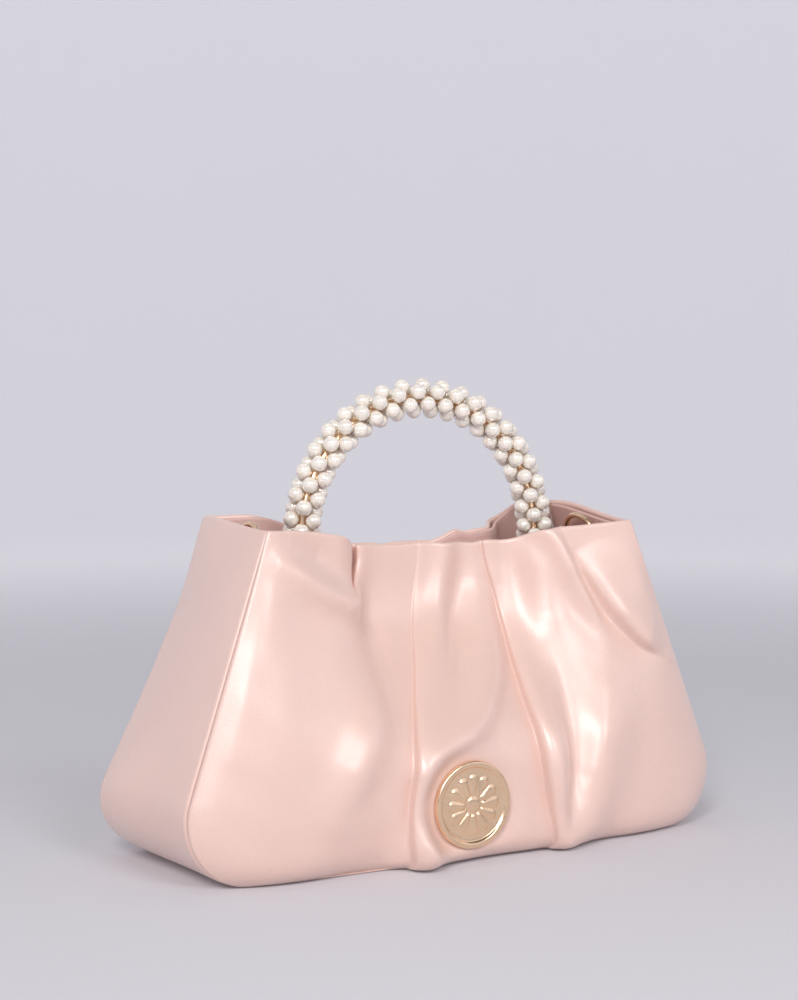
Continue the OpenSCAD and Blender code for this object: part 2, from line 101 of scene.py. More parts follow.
class Finishes(bpy.types.PropertyGroup):
    """Colours and grain of the bag's materials."""
    leather: colour_of("Leather", "the blush leather", (0.83, 0.585, 0.505))
    facing: colour_of("Facing", "the leather inside the rim", (0.72, 0.47, 0.425))
    lining: colour_of("Lining", "the lining cloth", (0.62, 0.47, 0.40))
    gold: colour_of("Gold", "the pale gold metal", (0.96, 0.70, 0.47))
    pearl: colour_of("Pearl", "the beads", (0.93, 0.865, 0.775))
    grain: bpy.props.FloatProperty(
        name="Grain size", description="Distance between two pebbles of the leather grain",
        default=0.0006, min=0.0002, max=0.002, unit="LENGTH", precision=5)
    grain_depth: bpy.props.FloatProperty(
        name="Grain depth", description="Depth of the leather grain",
        default=0.00008, min=0, max=0.0005, unit="LENGTH", precision=6)


class StageSizes(bpy.types.PropertyGroup):
    """Camera, light and backdrop."""
    azimuth: bpy.props.FloatProperty(
        name="Azimuth", description="Turn of the camera about the bag",
        default=math.radians(-31.63), subtype="ANGLE", unit="ROTATION")
    elevation: bpy.props.FloatProperty(
        name="Elevation", description="Rise of the camera",
        default=math.radians(2.13), subtype="ANGLE", unit="ROTATION")
    distance: bpy.props.FloatProperty(
        name="Distance", description="Distance of the camera from the point it looks at",
        default=0.79874, unit="LENGTH")
    aim: bpy.props.FloatVectorProperty(
        name="Aim", description="Point the camera looks at",
        default=(-0.01166, 0, 0.14755), subtype="XYZ", unit="LENGTH", precision=5)
    lens: bpy.props.FloatProperty(
        name="Lens", description="Focal length in millimetres",
        default=66.9, min=20, max=200)
    backdrop: colour_of("Backdrop", "the floor and backdrop", (0.67, 0.66, 0.70))


def sizes():
    return bpy.context.scene.bag_sizes


def finishes():
    return bpy.context.scene.bag_finishes


# ------------------------------------------------------------ plain curves

def clamped(t):
    """t, held between zero and one."""
    return np.clip(t, 0, 1)


def smooth(t):
    """An even S-curve: 3 t^2 - 2 t^3 of the held value."""
    c = clamped(t)
    return c * c * (3 - 2 * c)


def bell(d, width):
    """A hump: e to the minus square of distance over width."""
    return np.exp(-(d / width) ** 2)


def round_edge(d, r):
    """Quarter circle: zero on the edge, one from r inwards."""
    return np.sqrt(np.maximum(0, 1 - (1 - clamped(d / r)) ** 2))


def spread(n, both=0.5):
    """n + 1 shares from zero to one, a blend of even steps and steps that close up at both ends."""
    t = np.linspace(0, 1, n + 1)
    return (1 - both) * t + both * (1 - np.cos(np.pi * t)) / 2


def smooth_line(points, n=60):
    """A smooth line through a few points: a Catmull-Rom curve with n + 1 points."""
    p = np.array(points, float)
    p = np.vstack([2 * p[0] - p[1], p, 2 * p[-1] - p[-2]])
    s = np.linspace(0, len(p) - 3 - 1e-6, n + 1)
    k = s.astype(int)
    t = (s - k)[:, None]
    a, b, c, d = p[k], p[k + 1], p[k + 2], p[k + 3]
    square, cube = 2 * a - 5 * b + 4 * c - d, 3 * b - a - 3 * c + d
    return 0.5 * (2 * b + (c - a) * t + square * t ** 2 + cube * t ** 3)


def trace(x, z, points, n=36):
    """Signed distance of each place to a smooth line, plus to its right going down, and the
    share of the way along it."""
    line = smooth_line(points, n)
    best = np.full(x.shape, 1e9)
    side = np.zeros(x.shape)
    share = np.zeros(x.shape)
    for i in range(n):
        a, e = line[i], line[i + 1] - line[i]
        t = clamped(((x - a[0]) * e[0] + (z - a[1]) * e[1]) / (e @ e))
        dx, dz = x - a[0] - t * e[0], z - a[1] - t * e[1]
        d = np.hypot(dx, dz)
        near = d < best
        best = np.where(near, d, best)
        side = np.where(near, np.sign(e[0] * (z - a[1]) - e[1] * (x - a[0])), side)
        share = np.where(near, (i + t) / n, share)
    return best * np.where(side < 0, -1, 1), share


def along(share, heights):
    """A height that runs smoothly through even steps along a line."""
    return np.interp(share, np.linspace(0, 1, len(heights)), heights)


def ridge(x, z, points, heights, left, right):
    """A soft fold: the bell of the distance to a line, times the height along it, with a
    width for each side of the line."""
    d, share = trace(x, z, points)
    return along(share, heights) * bell(d, np.where(d > 0, right, left))


def crease(x, z, points, rise, drop, right=8.0, left=8.0, sharp=0.7):
    """A tucked fold: right of the line the leather swells by rise, most at six tenths of right,
    and fades; left of it it sinks by drop and comes back over left. A quick S-turn of width
    sharp lies between."""
    d, share = trace(x, z, points)
    turn = 0.5 * (1 + np.tanh(d / sharp))
    t = np.maximum(d, 0) / (0.6 * right)
    up = along(share, rise) * (t * np.exp(1 - t) + 0.25 * np.exp(-t))
    down = along(share, drop) * np.exp(np.minimum(d, 0) / left)
    return turn * up - (1 - turn) * down


# ------------------------------------------------------ shape of the bag

def outline():
    """Middle of the corner arc and the lean of the straight side."""
    s = sizes()
    cx = s.base_w / 2 - s.corner_r
    dx, dz = s.rim_w / 2 - cx, s.rim_h - s.corner_r
    tilt = math.atan2(dz, dx) - math.acos(s.corner_r / math.hypot(dx, dz))
    return cx, tilt


def side_x(z, inset=0.0):
    """Half length at height z: the corner's arc below, the leaning straight side above."""
    s = sizes()
    cx, tilt = outline()
    r = s.corner_r - inset
    arc = cx + np.sqrt(np.maximum(0, r * r - (s.corner_r - z) ** 2))
    side = cx + (r - (z - s.corner_r) * math.sin(tilt)) / math.cos(tilt)
    return np.where(z < s.corner_r + r * math.sin(tilt), arc, side)


def seam_y(z):
    """Half depth between the seams, straight from the base to the rim."""
    s = sizes()
    return s.base_d / 2 + (s.rim_d - s.base_d) / 2 * z / s.rim_h


def evened(curve, at, reach):
    """The mean of a curve over a short stretch on both sides, which rounds its corners."""
    return sum(curve(at + k * reach) for k in np.linspace(-1, 1, 7)) / 7


def gather(x):
    """One where the mouth is closed, falling to zero at the rim corners, its own corners
    rounded."""
    s = sizes()

    def held(x):
        a = np.abs(x) - s.closed_half
        return 1 - 0.45 * smooth(a / s.fold_w) - 0.55 * clamped(a / (s.rim_w / 2 - s.closed_half))

    return evened(held, x, 5)


def lean(z):
    """Share of the way that a panel has leaned in towards the lips at height z."""
    s = sizes()

    def held(z):
        t = clamped((z - s.pinch_z) / (s.lip_z - s.pinch_z))
        return (t + smooth(t)) / 2

    return evened(held, z, 11)


def wall(x, z, belly):
    """Distance of a panel from the middle plane: the seams' half depth, plus a belly that is
    full just above the floor and fades to the rim, plus padding inside the seams; the upper
    part leans in to the lips where the mouth is gathered."""
    s = sizes()
    u = clamped(np.abs(x) / side_x(z))
    low = (1 - (1 - clamped(z / s.belly_z)) ** 2.6) ** 0.38
    high = 1 - smooth((z - s.pinch_z) / (s.rim_h - s.pinch_z))
    swell = np.where(z < s.belly_z, low, high)
    padding = s.puff * np.where(z < s.belly_z, low, 1) * (1 - u ** 15)
    padding = padding * (1 - 0.6 * smooth((z - 110) / 28))
    open_y = seam_y(z) + belly * swell * (0.7 * (1 - u ** 3) + 0.3 * (1 - u ** 9)) + padding
    return open_y + (s.lip_y - open_y) * lean(z) * gather(x)


def quiet_border(x, z):
    """Fades the folds out at the side seams and under the foot."""
    return smooth((side_x(z) - np.abs(x)) / 9) * smooth(z / 1.2)


def flare(z, y):
    """How far the ends stand out behind: wide above the back corners, waisted below the rim."""
    heights = (-20, 0, 10, 24, 38, 70, 104, 125, 145)
    out = (1.0, 1.5, 3.8, 5.2, 3.6, 0.0, -2.2, -1.2, 0.0)
    return evened(lambda h: np.interp(h, heights, out), z, 7) * smooth((y + 22) / 56)


def end_rise(x, y, z):
    """How far the top of each end rises from its front corner to its back corner."""
    return np.where(x > 0, 7.0, 3.6) * smooth((y + 30) / 56) * smooth((z - 96) / 42)


# Fold lines as (x, z) places, from the rim downwards.
FRONT_POCKET = (
    (-40, 137), (-37.5, 127), (-38.5, 120), (-44, 112), (-54, 98), (-66, 70), (-74, 40), (-76, 0))
POCKET_HOOK = FRONT_POCKET[:4] + ((-51, 108),)
FRONT_LEFT_TUCK = (
    (-6, 134), (-7, 118), (-12, 98), (-19, 80), (-27, 65), (-34, 49), (-37.5, 30), (-39, 12),
    (-37, 0))
FRONT_RIGHT_TUCK = (
    (26, 134), (28, 120), (31, 106), (31.5, 92), (29.5, 76), (27, 58), (27, 38), (29.5, 20),
    (33, 0))
BACK_LEFT_TUCK = ((-16, 138), (-18, 118), (-24, 90), (-31, 62), (-35, 30), (-36, 0))
BACK_RIGHT_TUCK = ((20, 138), (22, 118), (25, 90), (30, 62), (36, 30), (38, 0))
LEAF = ((62, 124), (67, 112), (76, 96), (88, 83), (101, 77))
SEAT = {"x": -10.0, "z": 25.0, "y": 53.2, "flat": 18.6, "blend": 10.0}


# Ridges and hollows: the line, the heights along it, less than zero for a hollow, and the
# widths of the bell on its left and right.
FRONT_RIDGES = (
    # between the tucks
    (((7, 136), (6, 122), (2, 106), (-5, 88), (-14, 74)), (1.8, 2.6, 3.0, 3.0, 1.4), 5, 6),
    (((27, 112), (24, 100), (19, 82), (5, 66), (-12, 53), (-29, 42)),
     (1.4, 3.8, 6.4, 7.2, 6.0, 2.4), 9, 8),
    (((17, 134), (16, 116), (8, 96), (-2, 80)), (-1.0, -1.4, -1.8, -0.8), 5, 5),
    # right of the right tuck: a hollow and a soft ridge that meet at the foot
    (((49, 96), (48, 75), (45.5, 54), (44, 32), (38, 10), (35, 2)),
     (-0.6, -3.4, -5.8, -6.4, -5.0, -2.0), 6.0, 7.5),
    (((73, 88), (67, 68), (60, 50), (53, 33), (46, 19), (39, 5)),
     (0.3, 2.6, 4.2, 4.4, 3.4, 1.4), 6.5, 17),
    # below the right of the rim
    (((46, 137), (53, 130), (58, 118), (64, 104), (71, 88)), (1.2, 3.6, 5.4, 4.4, 0.6), 4.6, 3.6),
    (((38, 132), (44, 120), (47, 104)), (0.7, 0.9, 0.1), 5, 5),
    # the big lobe on the left
    (((-88, 127), (-76, 119), (-62, 111), (-50, 107), (-38, 108)),
     (1.2, 4.2, 5.6, 6.0, 1.6), 6, 5.5),
    (((-80, 134), (-66, 127), (-54, 120)), (-0.6, -2.6, -1.8), 6, 6),
    (((-44, 100), (-47, 84), (-50, 66)), (-1.0, -2.6, -1.4), 11, 11),
    (((-45, 78), (-53, 60), (-63, 42), (-74, 27)), (0.8, 3.6, 4.2, 1.4), 9, 9),
    (((-92, 112), (-100, 92), (-107, 72), (-113, 52)), (0.5, 0.8, 0.8, 0.5), 6, 6),
    # at the foot
    (((-34, 14), (-33, 0)), (0.2, 1.6), 4, 7),
    (((-52, 30), (-48, 8)), (-0.8, -2.8), 9, 9),
    (((-18, 8), (-17, 0)), (0.3, 0.8), 9, 9),
)
BACK_RIDGES = (
    (((1, 138), (2, 112), (8, 84), (14, 56)), (1.4, 2.6, 3.2, 1.0), 6, 8),
    (((-52, 136), (-60, 116), (-70, 92)), (2.0, 4.2, 0.8), 5, 6),
    (((50, 136), (60, 114), (74, 92)), (2.0, 4.4, 0.8), 6, 5),
    (((-42, 136), (-48, 112), (-54, 86)), (-1.0, -1.6, -0.4), 6, 6),
    (((41, 136), (46, 112), (52, 80)), (-1.0, -1.6, -0.4), 6, 6),
    (((-56, 70), (-66, 46), (-78, 26)), (0.6, 3.4, 0.8), 11, 11),
    (((60, 66), (66, 44), (74, 22)), (0.6, 3.2, 0.8), 11, 11),
    (((52, 84), (50, 56), (44, 24)), (-0.6, -2.8, -1.6), 8, 8),
    (((-50, 84), (-48, 56), (-44, 24)), (-0.6, -2.6, -1.6), 8, 8),
)


def ridges(x, z, table):
    """Sum of a table's ridges and hollows."""
    return sum(ridge(x, z, *row) for row in table)


def front_folds(x, z):
    """Sum of the front's folds: two long tucks, the ridges and hollows between them, the
    pocket fold beside the closed lips and the leaf-shaped fold below the right corner."""
    h = crease(x, z, FRONT_LEFT_TUCK, (0.4, 0.6, 1.2, 2.0, 2.8, 3.2, 3.0, 2.4, 1.6),
               (0.2, 0.3, 0.5, 1.0, 2.0, 3.0, 3.6, 3.8, 3.0), right=10, left=13, sharp=0.4)
    h += crease(x, z, FRONT_RIGHT_TUCK, (1.6, 2.0, 2.8, 3.6, 4.6, 5.2, 5.4, 4.6, 2.6),
                (0.9, 0.8, 0.8, 1.2, 2.0, 2.6, 2.8, 2.4, 1.6), right=9, left=12, sharp=0.4)
    h += crease(x, z, LEAF, (0.2, 2.6, 4.6, 4.2, 0.4), (0.3, 2.4, 3.4, 2.4, 0.1),
                right=9, left=6, sharp=0.6)
    h += crease(x, z, POCKET_HOOK, (1.6, 2.6, 2.8, 2.2, 0.2), (2.0, 4.4, 5.0, 2.6, 0.1),
                right=5.0, left=4.6, sharp=0.45)
    h += ridges(x, z, FRONT_RIDGES)
    # gathers at the foot, which bulge out over the floor
    foot = 5.6 * bell(x + 32, 9) - 4.0 * bell(x + 62, 16) + 4.5 * bell(x - 38, 8)
    foot = foot - 2.5 * bell(x - 64, 12) - 1.5 * bell(x - 6, 12)
    h += foot * (1 - smooth((z - 3) / 22))
    # slight unevenness of soft leather
    h += 0.22 * np.sin(x / 9.1 + 0.7) * np.sin(z / 12.7 + 1.9)
    h += 0.12 * np.sin(x / 4.3 + z / 7.9) * np.sin(z / 5.7)
    return h * quiet_border(x, z)


def back_folds(x, z):
    """Sum of the back's folds: two long tucks, soft ridges between and beside them."""
    h = crease(x, z, BACK_LEFT_TUCK, (0.8, 1.0, 1.4, 2.0, 1.6, 0.8),
               (0.6, 0.8, 1.0, 1.8, 1.8, 1.0), right=9, left=11, sharp=0.5)
    h += crease(x, z, BACK_RIGHT_TUCK, (0.6, 0.8, 1.0, 1.6, 1.8, 0.8),
                (0.9, 0.9, 1.2, 1.8, 1.6, 0.8), right=12, left=9, sharp=0.5)
    h += ridges(x, z, BACK_RIDGES)
    foot = 4.0 * bell(x + 34, 9) + 3.5 * bell(x - 40, 9) - 2.0 * bell(x, 14)
    h += foot * (1 - smooth((z - 3) / 22))
    h += 0.22 * np.sin(x / 8.3 + 2.1) * np.sin(z / 11.9 + 0.4)
    return h * quiet_border(x, z)


def rim_z(x, dip):
    """Height of the rim over x: level at the corners and sagging where it is gathered."""
    return sizes().rim_h - dip * gather(x)


def front_rim(x):
    """Front rim: its sag, with small waves over the gathers."""
    wave = 0.9 * bell(x + 33, 5) - 0.9 * bell(x + 41, 4) + 0.7 * bell(x - 30, 5)
    wave = wave - 0.5 * bell(x - 22, 4) + 0.5 * bell(x + 4, 7)
    wave = wave + 0.6 * bell(x - 52, 9) + 0.7 * bell(x + 72, 14)
    return rim_z(x, sizes().front_dip) + wave


def back_rim(x):
    """Back rim: its sag, and the arch that it makes beside the closed part."""
    low = 4.6 * (smooth((x + 52) / 14) - smooth((x - 8) / 14))
    ends = np.where(x > 0, 7.0, 3.6) * smooth((np.abs(x) - 44) / 30)
    wave = 1.6 * bell(x - 74, 12) + 1.0 * bell(x + 70, 12)
    wave = wave - 1.0 * bell(x - 27, 4) - 0.8 * bell(x + 16, 5)
    return rim_z(x, sizes().back_dip) - low + ends + wave


def front_face(x, z):
    """Outer face of the front leather, level where the medallion sits on it."""
    y = wall(x, z, sizes().front_belly) + front_folds(x, z)
    seat = 1 - smooth((np.hypot(x - SEAT["x"], z - SEAT["z"]) - SEAT["flat"]) / SEAT["blend"])
    return y + (SEAT["y"] - y) * seat * smooth((z - 3) / 8)


def back_face(x, z):
    """Outer face of the back leather."""
    return wall(x, z, sizes().back_belly) + back_folds(x, z)


# For each side: its sign along y, its face and rim, its long fold lines, and the number of
# grid columns before, between and after them.
SIDES = {
    "front": (-1, front_face, front_rim,
              (FRONT_POCKET, FRONT_LEFT_TUCK, FRONT_RIGHT_TUCK), (70, 56, 84, 110)),
    "back": (1, back_face, back_rim, (BACK_LEFT_TUCK, BACK_RIGHT_TUCK), (100, 80, 100)),
}
# For each side: the tucks whose leather overlaps, and how far along each, in millimetres.
OVERLAPS = {
    "front": ((POCKET_HOOK, (1.2, 2.2, 2.4, 1.4, 0.0)),
              (FRONT_LEFT_TUCK, (0.2, 0.4, 0.8, 1.3, 1.5, 1.6, 1.6, 1.4, 1.0)),
              (FRONT_RIGHT_TUCK, (1.0, 1.0, 0.9, 1.1, 1.4, 1.6, 1.6, 1.4, 1.0))),
    "back": ((BACK_LEFT_TUCK, (0.8, 1.2, 1.2, 1.0)), (BACK_RIGHT_TUCK, (0.6, 0.9, 1.0, 0.8))),
}


def overlap(side, x, z):
    """How far the leather right of each tuck slides to the left over the leather beside it."""
    move = np.zeros_like(x)
    for line, reach in OVERLAPS[side]:
        d, share = trace(x, z, line)
        move -= along(share, reach) * smooth((d + 0.35) / 1.1) * np.exp(-np.maximum(d, 0) / 3.0)
    return move * quiet_border(x, z)


def line_x(line, z):
    """x of a fold line at height z, smoothed between its places."""
    p = smooth_line(line, 80)[::-1]
    return np.interp(z, p[:, 1], p[:, 0])


def panel_grid(side, foot_rows=24, rows=92, rim_rows=9):
    """Outer face of a panel as a grid: the columns run along the long tucks and close up
    beside them, and the rows close up under the foot and at the rim."""
    sign, face, rim, lines, counts = SIDES[side]
    s = sizes()
    knot = np.repeat(np.arange(len(counts)), counts)
    knot = np.append(knot, len(counts) - 1)
    share = np.concatenate([spread(c)[:-1] for c in counts] + [[1.0]])

    def across(z):
        k = np.stack([-side_x(z), *(line_x(line, z) for line in lines), side_x(z)])
        pick = np.broadcast_to(knot, z.shape)
        a = np.take_along_axis(k, pick[None], 0)[0]
        b = np.take_along_axis(k, pick[None] + 1, 0)[0]
        return a + (b - a) * share

    top_x = across(np.full((1, len(knot)), 136.0))
    for _ in range(3):
        top_x = across(rim(top_x))
    top = rim(top_x)
    low = s.belly_z * np.linspace(0, 1, foot_rows + 1)[:-1] ** 2.4
    rim_share = 3 / 120
    f = np.concatenate([np.linspace(0, 1, rows + 1)[:-1] * (1 - rim_share),
                        1 - rim_share * (1 - np.linspace(0, 1, rim_rows + 1)) ** 1.8])
    z = np.concatenate([np.repeat(low[:, None], len(knot), 1),
                        s.belly_z + (top - s.belly_z) * f[:, None]])
    x = across(z)
    y = face(x, z)
    y[0] = seam_y(0)
    u = clamped(np.abs(x) / side_x(z))
    wide = x + overlap(side, x, z) + np.sign(x) * flare(z, sign * y) * u ** 2
    return np.stack([wide, sign * y, z + FLOOR_GAP], -1)


def grid_normals(p, out):
    """Unit normals of a grid of points, turned to the side that out points to."""
    n = np.cross(np.gradient(p, axis=0), np.gradient(p, axis=1))
    n /= np.maximum(np.linalg.norm(n, axis=-1, keepdims=True), 1e-9)
    if np.sum(n * out) < 0:
        n = -n
    return n


# ------------------------------------------------------------------ meshes

def quads(index, flip):
    """Quads between the rows and columns of a table of vertex numbers."""
    a, b, c, d = index[:-1, :-1], index[:-1, 1:], index[1:, 1:], index[1:, :-1]
    q = np.stack([a, d, c, b] if flip else [a, b, c, d], -1)
    return q.reshape(-1, 4)


def make_mesh(name, points, faces, materials, weld=False):
    """A smooth-shaded object of quads or triangles from points in millimetres."""
    mesh = bpy.data.meshes.new(name)
    count, sides = faces.shape
    mesh.vertices.add(len(points))
    mesh.vertices.foreach_set("co", (np.asarray(points, float) * MM).astype(np.float32).ravel())
    mesh.loops.add(count * sides)
    mesh.loops.foreach_set("vertex_index", faces.astype(np.int32).ravel())
    mesh.polygons.add(count)
    mesh.polygons.foreach_set("loop_start", np.arange(0, count * sides, sides, dtype=np.int32))
    mesh.polygons.foreach_set("loop_total", np.full(count, sides, dtype=np.int32))
    mesh.update(calc_edges=True)
    mesh.polygons.foreach_set("use_smooth", np.ones(count, bool))
    for m in materials:
        mesh.materials.append(m)
    obj = bpy.data.objects.new(name, mesh)
    bpy.context.scene.collection.objects.link(obj)
    if weld:
        bm = bmesh.new()
        bm.from_mesh(mesh)
        bmesh.ops.remove_doubles(bm, verts=bm.verts, dist=1e-6)
        bmesh.ops.dissolve_degenerate(bm, edges=bm.edges, dist=1e-7)
        bm.to_mesh(mesh)
        bm.free()
    return obj


def line_lengths(p, axis):
    """Distance along the grid's lines from their first point."""
    d = np.linalg.norm(np.diff(p, axis=axis), axis=-1)
    pad = [(1, 0), (0, 0)] if axis == 0 else [(0, 0), (1, 0)]
    return np.pad(np.cumsum(d, axis=axis), pad)


def sheet_parts(outer, out, thick, edge=None, ring=False):
    """A sheet of leather or cloth below a grid: its two faces lie half a thickness from the
    middle and meet in a half-round edge all round. Nothing goes below the floor. ring joins
    the last column to the first."""
    n = grid_normals(outer, out)
    if ring:
        wrapped = np.concatenate([outer[:, -2:-1], outer, outer[:, 1:2]], 1)
        n = grid_normals(wrapped, np.concatenate([out[:, -1:], out, out[:, :1]], 1))[:, 1:-1]
    middle = outer - n * thick / 2
    r = thick / 2 if edge is None else edge
    v = line_lengths(middle, 0)
    half = round_edge(v, r) * round_edge(v[-1:] - v, r)
    if not ring:
        u = line_lengths(middle, 1)
        half = half * round_edge(u, r) * round_edge(u[:, -1:] - u, r)
    half = half[..., None] * thick / 2
    rows, cols = outer.shape[:2]
    top = np.arange(rows * cols).reshape(rows, cols)
    if ring:
        top[:, -1] = top[:, 0]
    low = top.copy()
    c0, c1 = (0, cols) if ring else (1, cols - 1)
    inner = rows * cols + np.arange((rows - 2) * (c1 - c0)).reshape(rows - 2, c1 - c0)
    if ring:
        inner[:, -1] = inner[:, 0]
    low[1:-1, c0:c1] = inner
    points = np.concatenate([(middle + n * half).reshape(-1, 3),
                             (middle - n * half)[1:-1, c0:c1].reshape(-1, 3)])
    points[:, 2] = np.maximum(points[:, 2], FLOOR_GAP)
    raw = np.cross(np.gradient(outer, axis=0), np.gradient(outer, axis=1))
    flip = np.sum(raw * n) > 0
    return points, np.concatenate([quads(top, flip), quads(low, not flip)])


def sheet_object(name, outer, out, thick, materials, edge=None, ring=False, weld=False):
    """A sheet as one object, without the points that no face uses."""
    points, faces = sheet_parts(outer, out, thick, edge, ring)
    used = np.unique(faces)
    renumber = np.zeros(len(points), int)
    renumber[used] = np.arange(len(used))
    return make_mesh(name, points[used], renumber[faces], materials, weld)


def several(parts):
    """Joins (points, faces) pairs into one."""
    start = np.cumsum([0] + [len(p) for p, _ in parts])
    points = np.concatenate([p for p, _ in parts])
    return points, np.concatenate([f + k for (_, f), k in zip(parts, start)])


def finish_piece(obj, slot, *nodes):
    """Rides the piece on the bag and hides the plain parts that it stands for. The slot is not
    used.
    """
    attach(obj, "bag")
    if nodes:
        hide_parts(*nodes)


def toward(*direction):
    """A direction as a row of three numbers."""
    return np.array(direction, float)


def unit(v):
    """Each row of three numbers, scaled to length one."""
    return v / np.linalg.norm(v, axis=1, keepdims=True)


def stitch_row(path, normal, pitch=3.0, reach=2.1, width=0.42, rise=0.12):
    """A row of thread stitches: each is a short bead, half-round across and tapered to both
    ends, laid along the path at even distances and sunk at its ends."""
    path, normal = np.asarray(path, float), np.asarray(normal, float)
    d = np.concatenate([[0], np.cumsum(np.linalg.norm(np.diff(path, axis=0), axis=1))])
    count = max(1, int(d[-1] // pitch))
    at = (np.arange(count) + 0.5) * d[-1] / count

    def sample(values, places):
        return np.stack([np.interp(places, d, values[:, k]) for k in range(3)], -1)

    pos = sample(path, at)
    n = unit(sample(normal, at))
    t = unit(sample(path, at + 0.5) - sample(path, at - 0.5))
    b = np.cross(n, t)
    rings, around = 5, 6
    s = np.linspace(-1, 1, rings)
    a = np.linspace(0, 2 * np.pi, around, endpoint=False)
    r = width / 2 * np.sqrt(np.maximum(0.12, 1 - s ** 4))
    lift = rise * (1 - s ** 2) - 0.1
    loc_t = np.repeat(s * reach / 2, around)
    loc_b = (r[:, None] * np.cos(a)).ravel()
    loc_n = (r[:, None] * np.sin(a) + lift[:, None]).ravel()
    pts = pos[:, None] + sum(axis[:, None] * reach[None, :, None] for axis, reach in
                             ((t, loc_t), (b, loc_b), (n, loc_n)))
    index = np.arange(rings * around).reshape(rings, around)
    index = np.concatenate([index, index[:, :1]], 1)
    side = quads(index, False)
    cap = np.array([[0, 1, 2, 3], [0, 3, 4, 5]])
    last = (rings - 1) * around
    face = np.concatenate([side, cap, (cap + last)[:, ::-1]])
    faces = face[None] + (np.arange(count) * rings * around)[:, None, None]
    return pts.reshape(-1, 3), faces.reshape(-1, 4)


def stitches(name, slot, rows):
    """One piece from rows of stitches."""
    finish_piece(make_mesh(name, *several(rows), [blush_thread()]), slot)


# --------------------------------------------------------------- materials

class Nodes:
    """Short hand for a material's nodes and links."""

    def __init__(self, name):
        self.material = bpy.data.materials.new(name)
        self.material.use_nodes = True
        self.tree = self.material.node_tree
        self.shader = self.tree.nodes["Principled BSDF"]
        self.place = self.tree.nodes.new("ShaderNodeTexCoord").outputs["Object"]

    def node(self, kind, **values):
        n = self.tree.nodes.new(kind)
        for key, value in values.items():
            if hasattr(n, key):
                setattr(n, key, value)
            else:
                n.inputs[key.replace("_", " ")].default_value = value
        return n

    def link(self, a, b):
        self.tree.links.new(a, b)

    def set(self, **values):
        for key, value in values.items():
            self.shader.inputs[key.replace("_", " ")].default_value = value

    def noise(self, scale, detail=3.0, rough=0.5, place=None):
        n = self.node("ShaderNodeTexNoise", Scale=scale, Detail=detail, Roughness=rough)
        self.link(place or self.place, n.inputs["Vector"])
        return n.outputs["Fac"]

    def bands(self, direction, scale, distortion=0.0):
        n = self.node("ShaderNodeTexWave", wave_type="BANDS", bands_direction=direction,
                      Scale=scale, Distortion=distortion)
        self.link(self.place, n.inputs["Vector"])
        return n.outputs["Fac"]

    def range(self, value, low, high, a=0.3, b=0.7):
        n = self.node("ShaderNodeMapRange")
        for key, v in zip(("From Min", "From Max", "To Min", "To Max"), (a, b, low, high)):
            n.inputs[key].default_value = v
        self.link(value, n.inputs["Value"])
        return n.outputs["Result"]

    def math(self, op, a, b):
        n = self.node("ShaderNodeMath", operation=op)
        for socket, v in zip(n.inputs, (a, b)):
            if isinstance(v, (int, float)):
                socket.default_value = v
            else:
                self.link(v, socket)
        return n.outputs[0]

    def gloss(self, value, rough_low, rough_high):
        """Roughness between two values, by a noise."""
        self.link(self.range(value, rough_low, rough_high), self.shader.inputs["Roughness"])

    def tint(self, value, colour, dark, light):
        """The colour, mixed by a noise between a darker and a lighter share of itself."""
        n = self.node("ShaderNodeMix", data_type="RGBA")
        self.link(self.range(value, 0, 1), n.inputs["Factor"])
        n.inputs["A"].default_value = (*[c * dark for c in colour[:3]], 1)
        n.inputs["B"].default_value = (*[min(1, c * light) for c in colour[:3]], 1)
        self.link(n.outputs["Result"], self.shader.inputs["Base Color"])
        return n.outputs["Result"]

    def mix_colour(self, fac, a, colour):
        n = self.node("ShaderNodeMix", data_type="RGBA")
        self.link(fac, n.inputs["Factor"])
        self.link(a, n.inputs["A"])
        n.inputs["B"].default_value = colour
        self.link(n.outputs["Result"], self.shader.inputs["Base Color"])
        return n.outputs["Result"]

    def bump(self, height, distance, strength=1.0, under=None):
        n = self.node("ShaderNodeBump", Strength=strength, Distance=distance)
        self.link(height, n.inputs["Height"])
        if under:
            self.link(under, n.inputs["Normal"])
        self.link(n.outputs["Normal"], self.shader.inputs["Normal"])
        return n.outputs["Normal"]


MADE = {}


def kept(make):
    """Each material is made once."""
    def get():
        if make.__name__ not in MADE:
            MADE[make.__name__] = make()
        return MADE[make.__name__]
    return get


def leather_nodes(name, colour, rough, coat):
    """Smooth calf leather: cells of fine grain, broken up by noise, with a pearly fleck in its
    gloss."""
    f = finishes()
    m = Nodes(name)
    cloud = m.noise(14, 3)
    m.tint(cloud, colour, 0.965, 1.03)
    cells = m.node("ShaderNodeTexVoronoi", feature="F1", Scale=1 / f.grain, Randomness=1.0)
    m.link(m.place, cells.inputs["Vector"])
    fine = m.noise(1 / f.grain * 1.7, 4, 0.6)
    soft = m.bump(m.noise(160, 3), 0.0004, 0.25)
    grain = m.math("ADD", cells.outputs["Distance"], fine)
    m.bump(grain, f.grain_depth, 0.85, soft)
    fleck = m.noise(1 / f.grain * 0.9, 2)
    m.gloss(fleck, rough - 0.1, rough + 0.1)
    m.set(Coat_Weight=coat, Coat_Roughness=0.34, Coat_IOR=1.7, IOR=1.5,
          Sheen_Weight=0.12, Sheen_Roughness=0.45, Sheen_Tint=(1, 0.86, 0.82, 1),
          Subsurface_Weight=0.05, Subsurface_Radius=(0.0012, 0.0006, 0.0004))
    return m.material


@kept
def blush_leather():
    return leather_nodes("blush_leather", finishes().leather, 0.36, 0.95)


@kept
def facing_leather():
    return leather_nodes("facing_leather", finishes().facing, 0.46, 0.1)


